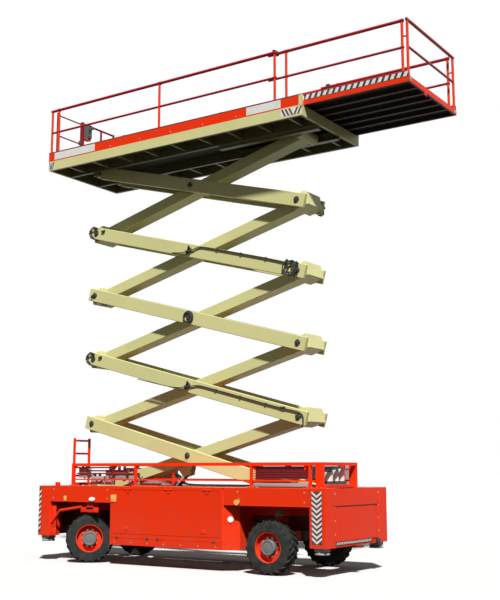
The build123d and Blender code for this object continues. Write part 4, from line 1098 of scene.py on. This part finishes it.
dress("lift_cylinder_rod", chrome("hard_chrome"))
ram_foot = Vector((-1.6, 0.0, 0.5))
ram_way = Vector((0.6831, 0.0, 0.7304)).normalized()
ram_rings = []
for name, low, high, radius, edge, steps in (("cylinder_gland", 1.27, 1.345, 0.104, 0.008, 2),
                                             ("cylinder_collar", 1.20, 1.262, 0.096, 0.004, 1),
                                             ("cylinder_base_ring", 0.10, 0.17, 0.100, 0.006, 1)):
    start, end = ram_foot + ram_way * low, ram_foot + ram_way * high
    ram_rings.append(turned(name, start, end, radius, 40, edge=edge, steps=steps))
fitted(joined("cylinder_rings", ram_rings), "lift_barrel", steel_black, "black_steel")
sideways = Vector((0, 1, 0)).cross(ram_way) * -1
pipe = [tuple(ram_foot + ram_way * up + sideways * out)
        for up, out in ((0.14, 0.105), (0.20, 0.135), (0.35, 0.12), (0.8, 0.115), (1.1, 0.12),
                        (1.19, 0.125), (1.24, 0.10))]
hose("cylinder_feed_pipe", pipe, 0.012, "lift_barrel", plated)

# ------------------------------------------------------------ deck
# Edge beams and ribs in cream enamel, with painted shade on their inner faces and undersides,
# carry a chequer-plate floor. Red toe boards stand round it with white plates riveted on;
# hazard films mark the beams' ends.

# Painted shade: a dark olive cream on the inner faces of the edge beams and on the ribs and channels
# underneath.
painted_shade_cream = (0.150, 0.145, 0.066)
deck_cream = cream_enamel("deck_cream_enamel", clean_cream, aged_cream, (-3.462, 2.952, 1.102, painted_shade_cream))
painted_shade_under_cream = cream_enamel("under_cream_enamel", painted_shade_cream, (0.120, 0.116, 0.052))
dress("deck_frame", deck_cream)
dress("deck_ribs", painted_shade_under_cream)
dress("deck_channels", painted_shade_under_cream)
chequer_pitch = 0.040
bar_dark, bar_bright = (0.20, 0.20, 0.19, 1.0), (0.46, 0.46, 0.45, 1.0)


def chequer_steel(name, level):
    """Chequer-plate floor: worn bright on the bars, and nearly black painted shade underneath, below the
    given height.
    """
    # Both colours here are painted shade for the floor's underside, not dust.
    black, dusty = (0.045, 0.042, 0.022, 1.0), (0.030, 0.028, 0.015, 1.0)
    material, wires, place = finish(name)
    top = measured(wires, place, "Z").above(level)
    bars = lozenges(wires, place, chequer_pitch)
    walk = noise(wires, place, 2.4, 6.0, 0.65)
    worn = wires.mix((bars * walk * 1.6).kept(), bar_dark, bar_bright)
    painted_shade = wires.mix((walk * 1.5 - 0.4).kept(), black, dusty)
    return coat(material, wires, {"Base Color": wires.mix(top, painted_shade, worn), "Roughness": walk * 0.25 + 0.42,
                                  "Metallic": top * 0.5, "Specular IOR Level": 0.05,
                                  "Normal": relief(wires, 0.6, 0.002, bars * top)})


floor_underside = 8.464
dress("deck_floor", chequer_steel("deck_chequer_plate", floor_underside))
deck_face, board_top = 1.12, 8.667
plate_ends = ((-3.31, -2.14), (1.74, 2.51))
for side, where in flanks:
    face = side * deck_face
    patch_out, bar_in, bar_out = face + side * 0.0012, face + side * 0.0008, face + side * 0.002
    patch = block(f"{where}_corner_patch", (2.51, face, 8.298), (2.968, patch_out, 8.446), 0.0005, 1)
    fitted(patch, "deck", white_film)
    bars = [leaning("side_slant", (x, bar_in, 8.302), (x + 0.042, bar_out, 8.442), (0, 0, 1), (lean, 0, 0))
            for x, lean in ((2.590, -0.070), (2.668, -0.070), (2.746, -0.070), (2.790, 0.070),
                            (2.868, 0.070))]
    fitted(joined(f"{where}_corner_slants", bars), "deck", maroon_film)
    patch = block(f"{where}_rear_patch", (-3.475, face, 8.285), (-3.330, patch_out, 8.450), 0.0005, 1)
    fitted(patch, "deck", white_film)
    bars = [leaning("rear_slant", (x, bar_in, 8.290), (x + 0.028, bar_out, 8.445), (0, 0, 1), (lean, 0, 0))
            for x, lean in ((-3.435, -0.030), (-3.420, 0.030), (-3.375, 0.030))]
    fitted(joined(f"{where}_rear_slants", bars), "deck", black_film)

    plates = [block("white_plate", (x0, face, 8.487), (x1, face + side * 0.004, 8.647), 0.0015, 1)
              for x0, x1 in plate_ends]
    fitted(joined(f"{where}_white_plates", plates), "deck", white_film)
    rivet = turned("rivet", (0, 0, 0), (0, 0, 0.004), 0.006, 10, edge=0.002)
    places = [outward(x, face + side * 0.003, z, side)
              for x0, x1 in plate_ends for x in (x0 + 0.03, x1 - 0.03) for z in (8.51, 8.625)]
    fitted(copied(f"{where}_plate_rivets", rivet, places), "deck", plated)
    y, z = side * 1.114, board_top
    # A black bar along the top of each toe board: painted shade of the dark line there.
    edge = turned(f"{where}_board_top_shade", (-3.478, y, z), (2.968, y, z), 0.0115, 12, edge=0.002)
    fitted(edge, "deck", black_plastic)
    heads = [outward(x, face, 8.52, side) for x in (-1.7, -0.9, -0.1, 0.7, 1.5)]
    fitted(copied(f"{where}_board_bolts", bolt("board_bolt", 0.009, 0.007), heads), "deck", plated)

dress("toe_boards", shell_red)
corner_posts = []
for side in (-1, 1):
    post = block("corner_post", (2.962, side * 1.064, 8.455), (2.9735, side * 1.108, 8.668), 0.003)
    wrap = block("corner_wrap", (2.905, side * 1.119, 8.455), (2.9735, side * 1.1235, 8.672), 0.0015, 1)
    corner_posts += [post, wrap]
fitted(joined("front_corner_posts", corner_posts), "deck", deck_cream, "cream_paint")

# ------------------------------------------------------------ guard rails
# Round-tube rails clamped to red posts, which are socketed in the deck; the rails carry
# painted shade: crimson enamel, and maroon at the rear end.

# The rails' crimson is the posts' red darkened as painted shade of tubes seen from below.
post_red, painted_shade_crimson = (0.78, 0.042, 0.010), (0.46, 0.016, 0.030)
rail_red = enamel("rail_red_enamel", post_red, rough=0.36, dust=0.0)
rail_painted_shade_crimson = enamel("rail_crimson_enamel", painted_shade_crimson, rough=0.36, dust=0.0)
dress("guard_rail_posts", rail_red)
dress("guard_rails", rail_painted_shade_crimson)
dress("rear_guard_rails", maroon_and_painted_shade)

rail_y, rail_z, mid_rail_z, post_foot = 1.082, 9.627, 9.127, 8.467
rear_post, middle_post, front_post = -3.25, -0.43, 2.36
socket = turned("post_socket", (0, 0.0055, 0), (0, 0.0055, 0.055), 0.0295, 24, edge=0.004)
flange = block("post_flange", (-0.045, -0.024, 0), (0.045, 0.030, 0.010), 0.003)
places = [put(x, side * rail_y, post_foot, 0 if side > 0 else 180)
          for side in (-1, 1) for x in (rear_post, middle_post, front_post)]
fitted(copied("post_shoes", joined("post_shoe", [socket, flange]), places), "deck", rail_red, "red_paint")

clamps = [turned("tee_clamp", (x - 0.035, y, z), (x + 0.035, y, z), radius, 20, edge=0.004)
          for y in (-rail_y, rail_y)
          for x, z, radius in ((front_post, rail_z, 0.037), (front_post, mid_rail_z, 0.030),
                               (middle_post, rail_z, 0.037), (rear_post, rail_z, 0.037))]
fitted(joined("rail_clamps", clamps), "deck", rail_painted_shade_crimson, "red_paint")

# black plugs in the open rail ends, and the angles at the front that guide the sliding rails
guides = [turned("rail_plug", (x0, y, rail_z), (x1, y, rail_z), 0.027, 20, edge=0.003)
          for y in (-rail_y, rail_y) for x0, x1 in ((2.39, 2.396), (-3.472, -3.478))]
for side in (-1, 1):
    x0, x1, top = 2.315, 2.385, 9.676
    inner, lip, outer = side * 0.958, side * 0.970, side * 1.112
    guides += [block("guide_plate", (x0, inner, 9.666), (x1, outer, top), 0.003),
               block("guide_lip", (x0, inner, 9.600), (x1, lip, top), 0.003)]
fitted(joined("rail_guides", guides), "deck", black_plastic)

# ------------------------------------------------------------ control box
# A folded box in green-grey enamel on a red shelf at the rear rails, with a joystick in a
# rubber boot, three switches and an emergency stop; a handbook box hangs beside it.

panel_green = enamel("panel_green_enamel", (0.115, 0.135, 0.120), rough=0.45, dust=0.0)
dress("platform_controls", panel_green)
lid = block("control_lid", (-3.416, -0.084, 9.580), (-3.306, 0.044, 9.596), 0.005)
face_plate = block("control_face", (-3.313, -0.072, 9.300), (-3.306, 0.032, 9.572), 0.003)
fitted(joined("control_panel", [lid, face_plate]), "deck", black_plastic)
panel_x, stick_y = -3.308, -0.02
stick = turned("joystick", (panel_x, stick_y, 9.48), (-3.235, stick_y, 9.490), 0.009, 14, edge=0.003)
knob = turned("joystick_knob", (-3.25, stick_y, 9.488), (-3.205, stick_y, 9.494), 0.019, 20,
              edge=0.008, steps=3)
boot = turned("joystick_boot", (panel_x - 0.002, stick_y, 9.48), (-3.280, stick_y, 9.484), 0.030, 24,
              edge=0.010, steps=3)
fitted(joined("joystick", [stick, knob, boot]), "deck", black_plastic)
stop = turned("emergency_stop", (panel_x, 0.005, 9.38), (-3.280, 0.005, 9.38), 0.018, 28, edge=0.006, steps=2)
fitted(stop, "deck", lens("red_lens", (0.60, 0.02, 0.02)))
switches = [turned("switch", (panel_x, y, 9.34), (-3.294, y, 9.34), 0.007, 12, edge=0.002)
            for y in (-0.055, -0.035, -0.015)]
fitted(joined("control_switches", switches), "deck", plated)
shelf = block("control_shelf", (-3.445, -0.078, 9.238), (-3.330, 0.036, 9.284), 0.006)
fitted(shelf, "deck", rail_red, "red_paint")
holder = block("handbook_box", (-3.43, 0.16, 8.97), (-3.36, 0.40, 9.09), 0.012)
fitted(holder, "deck", machine_grey, "grey_paint")

# ------------------------------------------------------------ entry gate
# A spring-closed gate of maroon tube in the rear rails, the maroon being painted shade of
# its red, hung on two plated hinge sleeves and held shut by a black latch.

dress("entry_gate", maroon_and_painted_shade)
hinge_x, hinge_y = -3.442, -0.872
hinges = [turned("gate_hinge", (hinge_x, hinge_y, z), (hinge_x, hinge_y, z + 0.07), 0.0225, 20, edge=0.004)
          for z in (8.56, 9.44)]
fitted(joined("gate_hinges", hinges), "entry_gate", plated)
latch = block("gate_latch", (-3.466, -0.235, 9.10), (-3.418, -0.165, 9.20), 0.010)
fitted(latch, "entry_gate", black_plastic)

# ------------------------------------------------------------ roll-out extension
# A second platform on wear strips inside the first, near-black underneath as painted shade. Its
# edge beam is red with a black band of white slanted blocks over it; its crimson rails stand
# on red posts and have black end caps.

edge_beam, beam_low, deck_top = 1.0505, 8.474, 8.577


def extension_enamel(name):
    """Painted shade in near-black on the underside, red toe boards and edge beams, and a worn chequer-plate
    floor.
    """
    painted_shade_black, painted_shade_brown = (0.020, 0.016, 0.015, 1.0), (0.040, 0.028, 0.022, 1.0)
    bright, faded = (0.74, 0.040, 0.010, 1.0), (0.62, 0.034, 0.012, 1.0)
    material, wires, place = finish(name)
    height = measured(wires, place, "Z")
    across = abs(measured(wires, place, "Y"))
    bars = lozenges(wires, place, chequer_pitch)
    cloud = noise(wires, place, 2.2, 5.0)
    edge = (height.above(deck_top + 0.0005) + across.above(edge_beam)).kept()
    top = height.above(deck_top - 0.0015) * height.below(deck_top + 0.0015) * across.below(edge_beam)
    dark = wires.mix(cloud, painted_shade_black, painted_shade_brown)
    painted = wires.mix(cloud, bright, faded)
    worn = wires.mix((bars * cloud * 1.6).kept(), bar_dark, bar_bright)
    tone = wires.mix(top, wires.mix(edge, dark, painted), worn)
    return coat(material, wires, {"Base Color": tone, "Roughness": cloud * 0.2 + 0.45, "Metallic": top * 0.5,
                                  "Specular IOR Level": 0.1,
                                  "Normal": relief(wires, 0.6, 0.002, bars * top)})


def railing_enamel(name, posts):
    """Rails in crimson painted shade on posts of a brighter red: the posts stand at the sides, at the given
    lengths.
    """
    material, wires, place = finish(name)
    length = measured(wires, place, "X")
    across = abs(measured(wires, place, "Y"))
    cloud = noise(wires, place, 3.0, 4.0)
    posted = 0.0
    for low, high in posts:
        posted = length.above(low) * length.below(high) + posted
    posted = (posted * across.above(0.985)).kept()
    rail = wires.mix(cloud, tint(painted_shade_crimson), tint(painted_shade_crimson, 0.85))
    post = wires.mix(cloud, tint(post_red), tint(post_red, 0.85))
    return coat(material, wires, {"Base Color": wires.mix(posted, rail, post),
                                  "Roughness": cloud * 0.1 + 0.34, "Specular IOR Level": 0.2})


dress("extension_deck", extension_enamel("extension_enamel"))
rail_finish = railing_enamel("extension_rail_enamel", ((2.550, 2.600), (4.945, 4.995), (5.040, 5.100)))
dress("extension_rails", rail_finish)
extension_rail_y, post_x = 1.014, 2.575
for side, where in flanks:
    face = side * 1.052
    film_out, bar_in, bar_out = face + side * 0.0015, face + side * 0.001, face + side * 0.0028
    band = block(f"{where}_extension_band", (2.985, face, 8.562), (5.095, film_out, 8.668), 0.0006, 1)
    fitted(band, "extension", black_film)
    pitch = 0.124
    bars = [leaning("band_block", (2.998 + pitch * i, bar_in, 8.572), (3.066 + pitch * i, bar_out, 8.658),
                    (0, 0, 1), (0.040, 0, 0)) for i in range(17)]
    fitted(joined(f"{where}_band_blocks", bars), "extension", white_film)
    beam = block(f"{where}_edge_skin", (1.205, face, beam_low), (5.098, film_out, 8.560), 0.0006, 1)
    fitted(beam, "extension", shell_red, "red_paint")
    y, z = side * 1.046, 8.677
    rim = turned(f"{where}_edge_rim", (2.985, y, z), (5.055, y, z), 0.008, 10, edge=0.002)
    fitted(rim, "extension", rail_red, "red_paint")

    y = side * extension_rail_y
    foot = turned("rail_foot", (0, 0, 0), (0, 0, 0.05), 0.035, 24, edge=0.004)
    places = [put(x, y, deck_top) for x in (post_x, 4.97, 5.063)]
    fitted(copied(f"{where}_extension_feet", foot, places), "extension", rail_red, "red_paint")
    sleeves = [turned("rail_sleeve", (x - 0.034, y, z), (x + 0.034, y, z), radius, 20, edge=0.004)
               for x in (post_x, 4.966) for z, radius in ((rail_z, 0.036), (mid_rail_z, 0.029))]
    fitted(joined(f"{where}_extension_sleeves", sleeves), "extension", rail_painted_shade_crimson, "red_paint")
    plugs = [turned("rail_plug", start, end, 0.027, 20, edge=0.003)
             for start, end in (((5.0, y, rail_z), (5.006, y, rail_z)),
                                ((5.07, side * 1.044, rail_z), (5.07, side * 1.050, rail_z)))]
    fitted(joined(f"{where}_extension_plugs", plugs), "extension", black_plastic)

# the skin, hazard patches and slide catch of the front beam
skin = block("extension_end_skin", (5.0995, -1.05, beam_low), (5.1015, 1.05, 8.576), 0.0006, 1)
fitted(skin, "extension", shell_red, "red_paint")
for side, where in flanks:
    inner, outer = side * 0.93, side * 1.048
    patch = block(f"{where}_end_patch", (5.1010, inner, 8.500), (5.1025, outer, 8.572), 0.0004, 1)
    fitted(patch, "extension", black_film)
    lean = (0, side * 0.022, 0)
    bars = [leaning("end_slant", (5.1020, y, 8.506), (5.1035, y + 0.020, 8.566), (0, 0, 1), lean)
            for y in (side * 0.955 - 0.01, side * 0.995 - 0.01)]
    fitted(joined(f"{where}_end_slants", bars), "extension", white_film)
catch = block("extension_catch", (5.080, -0.41, 8.425), (5.099, -0.30, 8.476), 0.004)
fitted(catch, "extension", shell_red, "red_paint")

# ------------------------------------------------------------ floor, light and camera
# A plain pale floor that fades into a white room, a high sun from behind the camera with a
# faint broad one to fill, and a camera at eye height off the machine's front right corner.


def looked_at(wires):
    """1 for what the camera sees straight, mirrored or through glass, 0 for light that bounces on."""
    rays = [wires.node("ShaderNodeLightPath", {}, {}, ray)
            for ray in ("Is Camera Ray", "Is Glossy Ray", "Is Transmission Ray")]
    return (rays[0] + rays[1] + rays[2]).kept()


bpy.ops.mesh.primitive_plane_add(size=400, location=(0, 0, 0))
ground = bpy.context.object
ground.name = "floor"
paper = bpy.data.materials.new("pale_floor")
paper.use_nodes = True
paper.node_tree.nodes.clear()
wires = Wire(paper.node_tree)
pale = wires.node("ShaderNodeBsdfDiffuse", {}, {"Color": (0.70, 0.70, 0.71, 1)})
dim = wires.node("ShaderNodeBsdfDiffuse", {}, {"Color": (0.06, 0.06, 0.055, 1)})
shown = wires.node("ShaderNodeMixShader", {}, {0: looked_at(wires), 1: dim, 2: pale})
wires.node("ShaderNodeOutputMaterial", {}, {"Surface": shown})
ground.data.materials.append(paper)

world = bpy.data.worlds.new("room")
bpy.context.scene.world = world
world.use_nodes = True
world.node_tree.nodes.clear()
sky = Wire(world.node_tree)
glow = sky.node("ShaderNodeBackground", {}, {"Color": (1.0, 0.97, 0.90, 1), "Strength": 0.125})
backdrop = sky.node("ShaderNodeBackground", {}, {"Color": (1, 1, 1, 1), "Strength": 1.0})
shown = sky.node("ShaderNodeMixShader", {}, {0: looked_at(sky), 1: glow, 2: backdrop})
sky.node("ShaderNodeOutputWorld", {}, {"Surface": shown})


def sun(name, strength, spread, azimuth, height, colour):
    """A sun that shines from an azimuth (0 along +X, 90 along +Y) and a height, both in degrees."""
    bpy.ops.object.light_add(type="SUN", location=(0, 0, 20))
    light = bpy.context.object
    light.name = name
    light.data.energy = strength
    light.data.angle = radians(spread)
    light.data.color = colour
    level = cos(radians(height))
    towards = Vector((cos(radians(azimuth)) * level, sin(radians(azimuth)) * level, sin(radians(height))))
    light.rotation_euler = towards.to_track_quat("Z", "Y").to_euler()


sun("key_sun", 5.4, 3, -50, 50, (1.0, 0.99, 0.96))
sun("fill_sun", 0.2, 60, 20, 30, (0.94, 0.97, 1.0))

film_width, frame_height, focal_length = 36.0, 600, 1014
bpy.ops.object.camera_add(location=(12.1, -16.47, 1.83), rotation=(radians(90 + 9.48), 0, radians(33.8)))
camera = bpy.context.object
camera.data.sensor_width = film_width
camera.data.lens = film_width * focal_length / frame_height
camera.data.clip_end = 500.0
bpy.context.scene.camera = camera
bpy.context.scene.view_settings.view_transform = "Standard"
